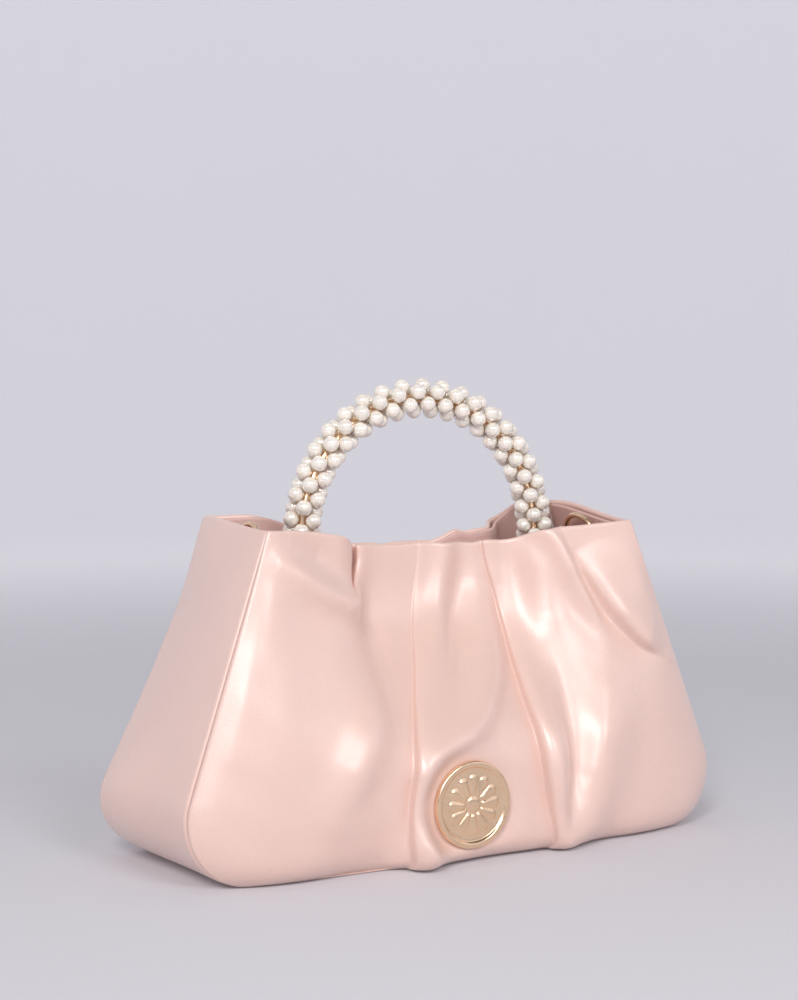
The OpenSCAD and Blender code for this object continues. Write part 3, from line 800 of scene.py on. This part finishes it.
@kept
def lining_cloth():
    """Fine twill: slanted threads crossed by finer ones, over a cloudy tone."""
    m = Nodes("lining_twill")
    tone = m.tint(m.noise(60, 4), finishes().lining, 0.9, 1.06)
    slant, cross = m.bands("DIAGONAL", 420, 0.6), m.bands("Z", 700, 0.4)
    weave = m.math("ADD", slant, m.math("MULTIPLY", cross, 0.5))
    m.mix_colour(m.range(weave, 0.16, 0, 0.2, 1.2), tone, (0.36, 0.25, 0.21, 1))
    m.bump(weave, 0.00012, 0.6)
    m.gloss(m.noise(300), 0.72, 0.86)
    m.set(Sheen_Weight=0.3, Sheen_Roughness=0.4)
    return m.material


@kept
def pale_gold():
    """Polished pale gold: faint fine scratches and slight clouding."""
    m = Nodes("pale_gold")
    m.tint(m.noise(90, 3), finishes().gold, 0.94, 1.04)
    scratch = m.node("ShaderNodeMapping")
    scratch.inputs["Scale"].default_value = (1, 1, 9)
    m.link(m.place, scratch.inputs["Vector"])
    lines = m.noise(900, 3, 0.6, scratch.outputs["Vector"])
    m.gloss(lines, 0.19, 0.30)
    m.bump(lines, 0.00001, 0.35)
    m.set(Metallic=1.0, Coat_Weight=0.15, Coat_Roughness=0.08)
    return m.material


@kept
def bead_pearl():
    """Pearl beads: a creamy body under a clear coat, its tone drifting from bead to bead."""
    m = Nodes("bead_pearl")
    p = finishes().pearl
    tone = m.tint(m.noise(170, 1), p, 0.93, 1.06)
    m.mix_colour(m.range(m.noise(190, 1), 0, 0.3, 0.45, 0.65), tone, (0.95, 0.84, 0.76, 1))
    m.gloss(m.noise(500, 2), 0.13, 0.2)
    m.bump(m.noise(700, 1), 0.00001, 0.08)
    m.set(IOR=1.7, Metallic=0.1, Coat_Weight=1.0, Coat_Roughness=0.04, Coat_IOR=1.8,
          Subsurface_Weight=0.2, Subsurface_Radius=(0.002, 0.0014, 0.001))
    return m.material


@kept
def plated_steel():
    m = Nodes("plated_steel")
    m.tint(m.noise(120, 3), (0.62, 0.62, 0.64), 0.9, 1.05)
    m.gloss(m.noise(700, 3), 0.25, 0.4)
    m.bump(m.noise(1800, 2), 0.00001, 0.3)
    m.set(Metallic=1.0)
    return m.material


@kept
def fibre_board():
    """Grey board: short fibres and speckles."""
    m = Nodes("fibre_board")
    m.tint(m.noise(900, 5, 0.7), (0.27, 0.25, 0.24), 0.7, 1.3)
    m.bump(m.noise(1200, 4), 0.0001, 0.6)
    m.gloss(m.noise(400), 0.8, 0.95)
    return m.material


@kept
def blush_thread():
    m = Nodes("blush_thread")
    m.tint(m.noise(800, 3), (0.74, 0.50, 0.44), 0.85, 1.1)
    m.bump(m.bands("DIAGONAL", 1500), 0.00004, 0.6)
    m.gloss(m.noise(500), 0.5, 0.65)
    m.set(Sheen_Weight=0.3, Sheen_Roughness=0.4)
    return m.material


# --------------------------------------------------------------- operators

class PieceOperator:
    """What all the operators share."""
    bl_options = {"REGISTER", "UNDO"}


def leather_panel(side):
    """The gathered leather of one side."""
    outward = toward(0, SIDES[side][0], 0)
    obj = sheet_object(side + "_leather", panel_grid(side), outward, sizes().panel_t,
                       [blush_leather()], edge=1.5)
    finish_piece(obj, "blush_leather", side + "_panel")


class BAG_OT_front_leather(PieceOperator, bpy.types.Operator):
    """Make the gathered front leather"""
    bl_idname = "bag.front_leather"
    bl_label = "Front leather"

    def execute(self, context):
        leather_panel("front")
        return {"FINISHED"}


class BAG_OT_back_leather(PieceOperator, bpy.types.Operator):
    """Make the gathered back leather"""
    bl_idname = "bag.back_leather"
    bl_label = "Back leather"

    def execute(self, context):
        leather_panel("back")
        return {"FINISHED"}


def outline_path(count):
    """Points and outward directions along the strip's outline: down the left side, round the
    corner, along the base, round the other corner and up the right side."""
    s = sizes()
    cx, tilt = outline()
    r = s.corner_r
    tz = r + r * math.sin(tilt)
    top = float(side_x(np.array(s.rim_h)))
    tx = float(side_x(np.array(tz)))
    straight = math.hypot(tx - top, s.rim_h - tz)
    turn = math.pi / 2 + tilt
    lens = np.array([straight, r * turn, 2 * cx, r * turn, straight])
    ends = np.concatenate([[0], np.cumsum(lens)])
    fine = 2.5  # the steps close up over this length at both ends
    near_ends = np.linspace(0, 1, 9)[:-1] ** 1.7 * fine
    d = np.concatenate([near_ends, np.linspace(fine, ends[-1] - fine, count),
                        (ends[-1] - near_ends)[::-1]])
    half = ends[-1] / 2
    m = np.minimum(d, ends[-1] - d)
    a = clamped((m - ends[1]) / (r * turn)) * turn
    ang = math.pi - tilt + a
    round_x = np.where(m < ends[2], -cx + r * np.cos(ang), -cx + (m - ends[2]))
    round_z = np.where(m < ends[2], r + r * np.sin(ang), 0.0)
    x = np.where(m < ends[1], -(top + (tx - top) * m / straight), round_x)
    z = np.where(m < ends[1], s.rim_h + (tz - s.rim_h) * m / straight, round_z)
    nx = np.where(m < ends[2], np.cos(ang), 0.0)
    nz = np.where(m < ends[2], np.sin(ang), -1.0)
    flip = np.where(d > half, -1.0, 1.0)
    return x * flip, z, nx * flip, nz


SEAM_IN = 1.25  # the strip ends this far inside the seam line


class BAG_OT_gusset_leather(PieceOperator, bpy.types.Operator):
    """Make the strip of leather round the ends and the base"""
    bl_idname = "bag.gusset_leather"
    bl_label = "Gusset leather"

    def execute(self, context):
        s = sizes()
        x, z, nx, nz = outline_path(230)
        w = -1 + 2 * spread(64, 0.35)
        half = (seam_y(z) - SEAM_IN)[:, None]
        y = half * w
        cushion = (1 - np.abs(w) ** 2.4) * smooth((z - 12) / 30)[:, None]
        sag = 0.35 * np.sin(z / 17 + 1.0)[:, None] * cushion
        dent = 0.5 * bell(w[None] * half + 4, 16) * smooth((z - 90) / 40)[:, None]
        out = 1.7 * cushion + sag - dent
        end = np.abs(nx)[:, None]
        spreading = np.sign(nx)[:, None] * flare(z[:, None], y) * end ** 0.5
        wide = x[:, None] + nx[:, None] * out + spreading
        high = z[:, None] + nz[:, None] * out + end_rise(x[:, None], y, z[:, None])
        grid = np.stack([wide, y, high + FLOOR_GAP], -1)
        direction = np.stack([nx, 0 * nx, nz], -1)[:, None] * np.ones((1, len(w), 1))
        obj = sheet_object(
            "gusset_leather", grid, direction, s.gusset_t, [blush_leather()], edge=1.6)
        finish_piece(obj, "blush_leather", "gusset")
        return {"FINISHED"}


def inner_band(side, top, bottom, off, inset, rows, cols):
    """Grid that follows the inside of a panel, off in from its outer face."""
    sign, face, rim, _, _ = SIDES[side]
    u = -1 + 2 * spread(cols, 0.25)
    limit = side_x(np.full(cols + 1, 125.0), inset)
    crest = rim(u * limit)
    z = crest - top - (bottom - top) * spread(rows, 0.3)[:, None]
    x = u * side_x(z, inset)
    outer = np.stack([x, sign * evened(lambda h: face(h, z), x, 4.5), z], -1)
    n = grid_normals(outer, toward(0, sign, 0))
    return outer - n * off, n


FACING_T, FACING_H = 1.5, 30.0  # thickness and height of the leather inside the rim


class BAG_OT_facings(PieceOperator, bpy.types.Operator):
    """Make the leather facings inside the rim, with their rows of stitches"""
    bl_idname = "bag.facings"
    bl_label = "Facings"

    def execute(self, context):
        rows = []
        for side in SIDES:
            grid, n = inner_band(
                side, top=0.9, bottom=FACING_H, off=3.2, inset=4.2, rows=46, cols=180)
            obj = sheet_object(side + "_facing_leather", grid, toward(0, SIDES[side][0], 0),
                               FACING_T, [facing_leather()])
            finish_piece(obj, "facing_leather", side + "_facing")
            for row in (5, -6):
                rows.append(stitch_row(grid[row] - n[row] * FACING_T, -n[row]))
        stitches("facing_stitches", "facing_leather", rows)
        return {"FINISHED"}


def at_end(side, x, y, z):
    """Puts points given in an end's own frame, x out of it and z up along it, on the bag."""
    s = sizes()
    _, tilt = outline()
    c, k = math.cos(tilt), math.sin(tilt)
    wide = side * (s.rim_w / 2 + x * c - z * k)
    return np.stack([wide, y + 0 * x, s.rim_h + x * k + z * c], -1)


# The D-rings' drop below the rim and wire radius, the tabs' leather and width, and how far
# inside the end the faces of the facing and of the tab lie.
RING_DROP, WIRE_R, PLY, TAB_W = 9.0, 1.3, 1.3, 15.0
FACING_X, TAB_X = -2.75, -4.5


class BAG_OT_end_facings(PieceOperator, bpy.types.Operator):
    """Make the leather facings inside the two ends"""
    bl_idname = "bag.end_facings"
    bl_label = "End facings"

    def execute(self, context):
        lo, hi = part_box("left_end_facing")
        half = (hi.y - lo.y) / 2 / MM
        for name, side in (("left", -1), ("right", 1)):
            h = -0.7 - 27.6 * spread(40, 0.3)[:, None]
            y = half * (-1 + 2 * spread(60, 0.3))
            x = FACING_X + 0 * y + 0 * h
            grid = at_end(side, x, y, h + 0 * y)
            grid[..., 2] += end_rise(grid[..., 0], grid[..., 1], grid[..., 2])
            grid[..., 0] += side * flare(grid[..., 2], grid[..., 1])
            obj = sheet_object(name + "_end_facing_leather", grid, toward(side, 0, 0.3),
                               FACING_T, [facing_leather()])
            finish_piece(obj, "facing_leather", name + "_end_facing")
        return {"FINISHED"}


class BAG_OT_ring_tabs(PieceOperator, bpy.types.Operator):
    """Make the folded leather tabs that hold the D-rings, with their stitches"""
    bl_idname = "bag.ring_tabs"
    bl_label = "Ring tabs"

    def execute(self, context):
        loop_in = WIRE_R + 0.06
        mid = loop_in + PLY / 2
        ring_x = TAB_X - loop_in - PLY
        end_z = -RING_DROP - (loop_in + PLY) - 9
        a = np.linspace(0, math.radians(222), 26)
        arc = np.stack([ring_x + mid * np.cos(a), -RING_DROP + mid * np.sin(a)], -1)
        back = np.stack([np.full(16, TAB_X - PLY / 2),
                         np.linspace(end_z, -RING_DROP, 17)[:-1]], -1)
        bends = [(TAB_X - x, -RING_DROP - z) for x, z in ((2.75, 3.6), (2.05, 6.2), (1.98, 8.5))]
        neck = smooth_line((arc[-1], *bends), 12)[1:]
        front_x, front_z = bends[-1]
        front = np.stack([np.full(8, front_x), np.linspace(front_z, end_z, 9)[1:]], -1)
        path = np.concatenate([back, arc, neck, front])
        y = TAB_W / 2 * (-1 + 2 * spread(24, 0.3))
        rows = []
        for name, side in (("left", -1), ("right", 1)):
            t = unit(np.gradient(path, axis=0))
            out = np.stack([t[:, 1], -t[:, 0]], -1)
            outer = path + out * PLY / 2
            grid = at_end(side, outer[:, :1] + 0 * y, y, outer[:, 1:] + 0 * y)
            zero = at_end(side, np.zeros(1), 0.0, np.zeros(1))
            direction = at_end(side, out[:, 0], 0.0, out[:, 1]) - zero
            outward = direction[:, None] * np.ones((1, len(y), 1))
            obj = sheet_object(
                name + "_ring_tab_leather", grid, outward, PLY, [blush_leather()], edge=0.6)
            finish_piece(obj, "blush_leather", name + "_ring_tab")
            last = outer[-13:-1]
            for k in (-1, 1):
                line = at_end(side, last[:, 0], k * (TAB_W / 2 - 1.6), last[:, 1])
                rows.append(stitch_row(line, direction[-13:-1], 2.4, 1.7, 0.4))
        stitches("tab_stitches", "blush_leather", rows)
        return {"FINISHED"}


STRAP_IN = 5.3  # the straps end this far inside the outer face of a panel


class BAG_OT_cross_straps(PieceOperator, bpy.types.Operator):
    """Make the two leather straps across the mouth that carry the handle"""
    bl_idname = "bag.cross_straps"
    bl_label = "Cross straps"

    def execute(self, context):
        rows = []
        for name in ("left", "right"):
            lo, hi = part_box(name + "_cross_strap")
            x = np.linspace(lo.x, hi.x, 24) / MM
            z = hi.z / MM
            reach = []
            for sign, face, *_ in SIDES.values():
                h = np.full_like(x, z - 1)
                sx = face(x + 0.5, h) - face(x - 0.5, h)
                sz = face(x, h + 0.5) - face(x, h - 0.5)
                reach.append(sign * (face(x, h) - STRAP_IN * np.sqrt(1 + sx ** 2 + sz ** 2)))
            f = spread(70, 0.3)[:, None]
            y = reach[0] + (reach[1] - reach[0]) * f
            grid = np.stack([x + 0 * f, y, z + 0 * y], -1)
            upward = toward(0, 0, 1)
            obj = sheet_object(
                name + "_strap_leather", grid, upward, 2.0, [blush_leather()], edge=0.9)
            finish_piece(obj, "blush_leather", name + "_cross_strap")
            for k in (2, -3):
                line = grid[4:-4, k]
                rows.append(stitch_row(line, np.tile(upward, (len(line), 1)), 2.8, 2.0, 0.42))
        stitches("strap_stitches", "blush_leather", rows)
        return {"FINISHED"}


CLOTH_T = 0.7  # thickness of the lining cloth


def slope_share(z):
    """How much longer a step in from a panel is along y where the panel leans."""
    return np.sqrt(1 + 0.55 * smooth((z - 46) / 30))


class BAG_OT_lining(PieceOperator, bpy.types.Operator):
    """Make the loose lining bag and its slip pocket"""
    bl_idname = "bag.lining"
    bl_label = "Lining"

    def execute(self, context):
        s = sizes()
        lo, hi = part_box("lining")
        floor = lo.z / MM + 0.4
        cols, rows = 120, 60
        loops = []
        for side, order in (("front", 1), ("back", -1)):
            sign, face, rim, _, _ = SIDES[side]
            u = (-1 + 2 * spread(cols, 0.3))[::order]
            top = rim(u * 88) - 30.4
            f = (1 - spread(rows, 0.2))[:, None]
            z = floor + (top - floor) * f
            x = u * side_x(z, s.gusset_t + 2.3)
            y = face(x, z) - 5.7 * slope_share(z)
            fold = 0.6 * np.sin(x / 6.5 + 1.3 * np.sin(z / 19)) + 0.5 * np.sin(x / 3.7 + z / 23)
            inward = 1 - np.abs(u)
            loose = clamped((floor + 70 - z) / 60 + 0.3) * smooth(inward / 0.1)
            y = y - (0.9 + fold * 0.7) * loose
            end_y = seam_y(z) - 5.2
            y = np.minimum(y, end_y + (y - end_y) * smooth(inward / 0.06))
            loops.append(np.stack([x, sign * np.maximum(y, 2.2), z], -1))
        walls = np.concatenate([loops[0][:, :-1], loops[1][:, :-1], loops[0][:, :1]], 1)
        f = np.linspace(1, 0, 15)[1:, None, None]
        last = walls[-1:]
        ground = np.concatenate(
            [last[..., :1] * (0.9 + 0.1 * f), last[..., 1:2] * f, last[..., 2:] + 0 * f], -1)
        grid = np.concatenate([walls, ground])
        outward = grid - toward(0, 0, 60)
        obj = sheet_object("lining_bag", grid, outward, CLOTH_T, [lining_cloth()],
                           edge=0.4, ring=True, weld=True)
        finish_piece(obj, "lining_cloth", "lining")
        lo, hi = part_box("slip_pocket")
        xs = np.linspace(lo.x, hi.x, 60) / MM
        zs = np.linspace(hi.z, lo.z, 34)[:, None] / MM
        x, z = xs + 0 * zs, zs + 0 * xs
        gape = 1.6 * (1 - (2 * (xs - xs.mean()) / (xs[-1] - xs[0])) ** 2)
        gape = gape * smooth((zs - zs[-1]) / (zs[0] - zs[-1]))
        y = back_face(x, z) - 7.6 * slope_share(z) - 0.8 - gape
        obj = sheet_object("pocket_cloth", np.stack([x, y, z], -1), toward(0, 1, 0), CLOTH_T,
                           [lining_cloth()], edge=0.4)
        finish_piece(obj, "lining_cloth", "slip_pocket")
        return {"FINISHED"}


# The medallion's rim, from the edge of its back to its face: how far in from the edge each
# place lies and how high above the back.
RIM_IN = (0.8, 0.35, 0, 0, 0.12, 0.5, 1.3, 2.1, 2.5, 2.75, 3.2, 4.2)
RIM_UP = (0, 0.12, 0.5, 1.7, 2.2, 2.52, 2.6, 2.52, 2.2, 1.7, 1.5, 1.5)


class BAG_OT_medallion(PieceOperator, bpy.types.Operator):
    """Make the round medallion: a raised rim round a dished face with a plain fluted rosette"""
    bl_idname = "bag.medallion"
    bl_label = "Medallion"

    def execute(self, context):
        lo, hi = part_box("medallion")
        cx, cz = (lo.x + hi.x) / 2 / MM, (lo.z + hi.z) / 2 / MM
        front = -lo.y / MM
        r0 = (hi.x - lo.x) / 2 / MM
        back = front - max(RIM_UP)
        face_in, face_up = RIM_IN[-1], RIM_UP[-1]
        inner = np.linspace(r0 - face_in, 0, 40)[1:]
        r = np.concatenate([[0], r0 - np.array(RIM_IN), inner])
        h = np.concatenate([[0], RIM_UP, np.full(len(inner), face_up)])
        a = np.linspace(0, 2 * np.pi, 145)
        R, A = np.meshgrid(r, a, indexing="ij")
        H = np.repeat(h[:, None], len(a), 1)
        petal = np.abs(np.cos(A * 6)) ** 0.7
        tip = r0 - 5.0 - 2.2 * (1 - petal)
        face = np.arange(len(r)) >= len(RIM_IN)
        flutes = 0.75 * petal * smooth((tip - R) / 2.0) * smooth((R - 3.2) / 2.0)
        relief = flutes + 0.9 * round_edge(3.4 - R, 3.0)
        H = H + relief * face[:, None]
        grid = np.stack([cx + R * np.cos(A), -(back + H), cz + R * np.sin(A)], -1)
        index = np.arange(grid.shape[0] * grid.shape[1]).reshape(grid.shape[:2])
        obj = make_mesh("medallion_disc", grid.reshape(-1, 3), quads(index, True),
                        [pale_gold()], weld=True)
        finish_piece(obj, "gold_metal", "medallion")
        return {"FINISHED"}


GOLD_NODES = (
    "magnet_snap_male", "magnet_snap_female", "left_handle_bracket", "right_handle_bracket",
    "bracket_rivets", "handle_pivot_pins", "left_ferrule", "right_ferrule", "handle_core",
    "tab_rivets", "left_d_ring", "right_d_ring")
STEEL_NODES = ("medallion_washer", "medallion_nuts")


class BAG_OT_hardware_finishes(PieceOperator, bpy.types.Operator):
    """Give the metal parts, the beads and the base board their finishes"""
    bl_idname = "bag.hardware_finishes"
    bl_label = "Hardware finishes"

    def execute(self, context):
        table = [(GOLD_NODES, pale_gold()), (STEEL_NODES, plated_steel()),
                 (("handle_pearls",), bead_pearl()), (("base_board",), fibre_board())]
        for names, material in table:
            for name in names:
                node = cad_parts[name]
                if not node.material_slots:
                    node.data.materials.append(material)
                for slot in node.material_slots:
                    slot.material = material
        return {"FINISHED"}


# Each light: its name, place, width, height, power and colour.
LIGHTS = (
    ("key", (-1.08, -1.2, 1.1), 0.5, 0.7, 16.5, (1, 0.985, 0.965)),
    ("fill", (1.3, -1.3, 0.8), 1.2, 1.2, 1.5, (0.97, 0.98, 1)),
    ("overhead", (0.0, -1.25, 0.85), 0.5, 0.4, 5.0, (1, 0.99, 0.98)),
    ("top", (-0.1, 0.5, 1.7), 1.6, 1.6, 4, (1, 1, 1)),
)
LIGHT_TARGET = (0, 0, 0.07)
WORLD_COLOUR, WORLD_STRENGTH = (0.97, 0.97, 1.0, 1), 0.17
# The backdrop's own light: its share near the bag and far off, and the distances between
# which it grows.
NEAR_GLOW, FAR_GLOW, GLOW_FROM, GLOW_TO = 0.06, 0.52, 0.35, 2.0
FLOOR_REACH, COVE_R = 4.0, 2.2  # where the floor starts to curve up, and the curve's radius


def area_light(name, where, width, height, power, colour):
    light = bpy.data.lights.new(name, "AREA")
    light.shape = "RECTANGLE"
    light.size = width
    light.size_y = height
    light.energy = power
    light.color = colour
    obj = bpy.data.objects.new(name, light)
    obj.location = where
    aim = np.array(LIGHT_TARGET) - np.array(where)
    obj.rotation_euler = Vector(aim).to_track_quat("-Z", "Y").to_euler()
    bpy.context.scene.collection.objects.link(obj)


class BAG_OT_stage(PieceOperator, bpy.types.Operator):
    """Make the backdrop, the lights and the camera"""
    bl_idname = "bag.stage"
    bl_label = "Stage"

    def execute(self, context):
        g = context.scene.bag_stage
        az, el = g.azimuth, g.elevation
        back = Vector((math.sin(az) * math.cos(el), -math.cos(az) * math.cos(el), math.sin(el)))
        cam = bpy.data.cameras.new("camera")
        cam.lens = g.lens
        cam.clip_end = 50
        obj = bpy.data.objects.new("camera", cam)
        obj.location = Vector(g.aim) + back * g.distance
        obj.rotation_euler = back.to_track_quat("Z", "Y").to_euler()
        context.scene.collection.objects.link(obj)
        context.scene.camera = obj

        m = Nodes("studio_paper")
        m.tint(m.noise(3, 2), g.backdrop, 0.995, 1.005)
        far = m.node("ShaderNodeVectorMath", operation="LENGTH")
        m.link(m.place, far.inputs[0])
        lift = m.range(far.outputs["Value"], NEAR_GLOW, FAR_GLOW, GLOW_FROM, GLOW_TO)
        lift.node.interpolation_type = "SMOOTHSTEP"
        parts = m.node("ShaderNodeSeparateXYZ")
        m.link(m.place, parts.inputs[0])
        behind = m.range(parts.outputs["Y"], 0.2, 1, -1.4, 0.5)
        high = m.range(parts.outputs["Z"], 0, 1, 0.1, 1.4)
        share = m.math("MAXIMUM", behind, high)
        m.link(m.math("MULTIPLY", lift, share), m.shader.inputs["Emission Strength"])
        m.set(Roughness=0.95, Emission_Color=g.backdrop)
        m.shader.inputs["Specular IOR Level"].default_value = 0.1
        r, reach = COVE_R, FLOOR_REACH
        a = np.linspace(0, 2 * np.pi, 97)
        turn = np.linspace(0, np.pi / 2, 14)[1:]
        rad = np.concatenate([np.linspace(0, reach, 12), reach + r * np.sin(turn),
                              np.full(2, reach + r)])[:, None]
        h = np.concatenate([np.zeros(12), r - r * np.cos(turn), [r + 1, r + 3]])[:, None]
        grid = np.stack([rad * np.cos(a), rad * np.sin(a), h + 0 * a], -1) / MM
        index = np.arange(len(rad) * len(a)).reshape(len(rad), len(a))
        make_mesh(
            "backdrop", grid.reshape(-1, 3), quads(index, False), [m.material], weld=True)

        world = bpy.data.worlds.new("studio")
        world.use_nodes = True
        sky = world.node_tree.nodes["Background"]
        sky.inputs["Color"].default_value = WORLD_COLOUR
        sky.inputs["Strength"].default_value = WORLD_STRENGTH
        context.scene.world = world
        for light in LIGHTS:
            area_light(*light)
        context.scene.view_settings.view_transform = "Standard"
        return {"FINISHED"}


PIECES = (
    BAG_OT_front_leather, BAG_OT_back_leather, BAG_OT_gusset_leather, BAG_OT_facings,
    BAG_OT_end_facings, BAG_OT_ring_tabs, BAG_OT_cross_straps, BAG_OT_lining,
    BAG_OT_medallion, BAG_OT_hardware_finishes, BAG_OT_stage)


class BAG_PT_pieces(bpy.types.Panel):
    """Lists the bag's pieces and settings"""
    bl_idname = "BAG_PT_pieces"
    bl_label = "Gathered bag"
    bl_space_type = "VIEW_3D"
    bl_region_type = "UI"
    bl_category = "Bag"

    def draw(self, context):
        for piece in PIECES:
            self.layout.operator(piece.bl_idname)
        for group in (context.scene.bag_sizes, context.scene.bag_finishes, context.scene.bag_stage):
            box = self.layout.box()
            for key in group.__annotations__:
                box.prop(group, key)


GROUPS = {"bag_sizes": BagSizes, "bag_finishes": Finishes, "bag_stage": StageSizes}


def register():
    for cls in (*GROUPS.values(), *PIECES, BAG_PT_pieces):
        bpy.utils.register_class(cls)
    for name, cls in GROUPS.items():
        setattr(bpy.types.Scene, name, bpy.props.PointerProperty(type=cls))


def unregister():
    for name in GROUPS:
        delattr(bpy.types.Scene, name)
    for cls in (BAG_PT_pieces, *reversed(PIECES), *reversed(list(GROUPS.values()))):
        bpy.utils.unregister_class(cls)


def main():
    register()
    for piece in PIECES:
        group, name = piece.bl_idname.split(".")
        getattr(getattr(bpy.ops, group), name)()


if __name__ == "__main__":
    main()
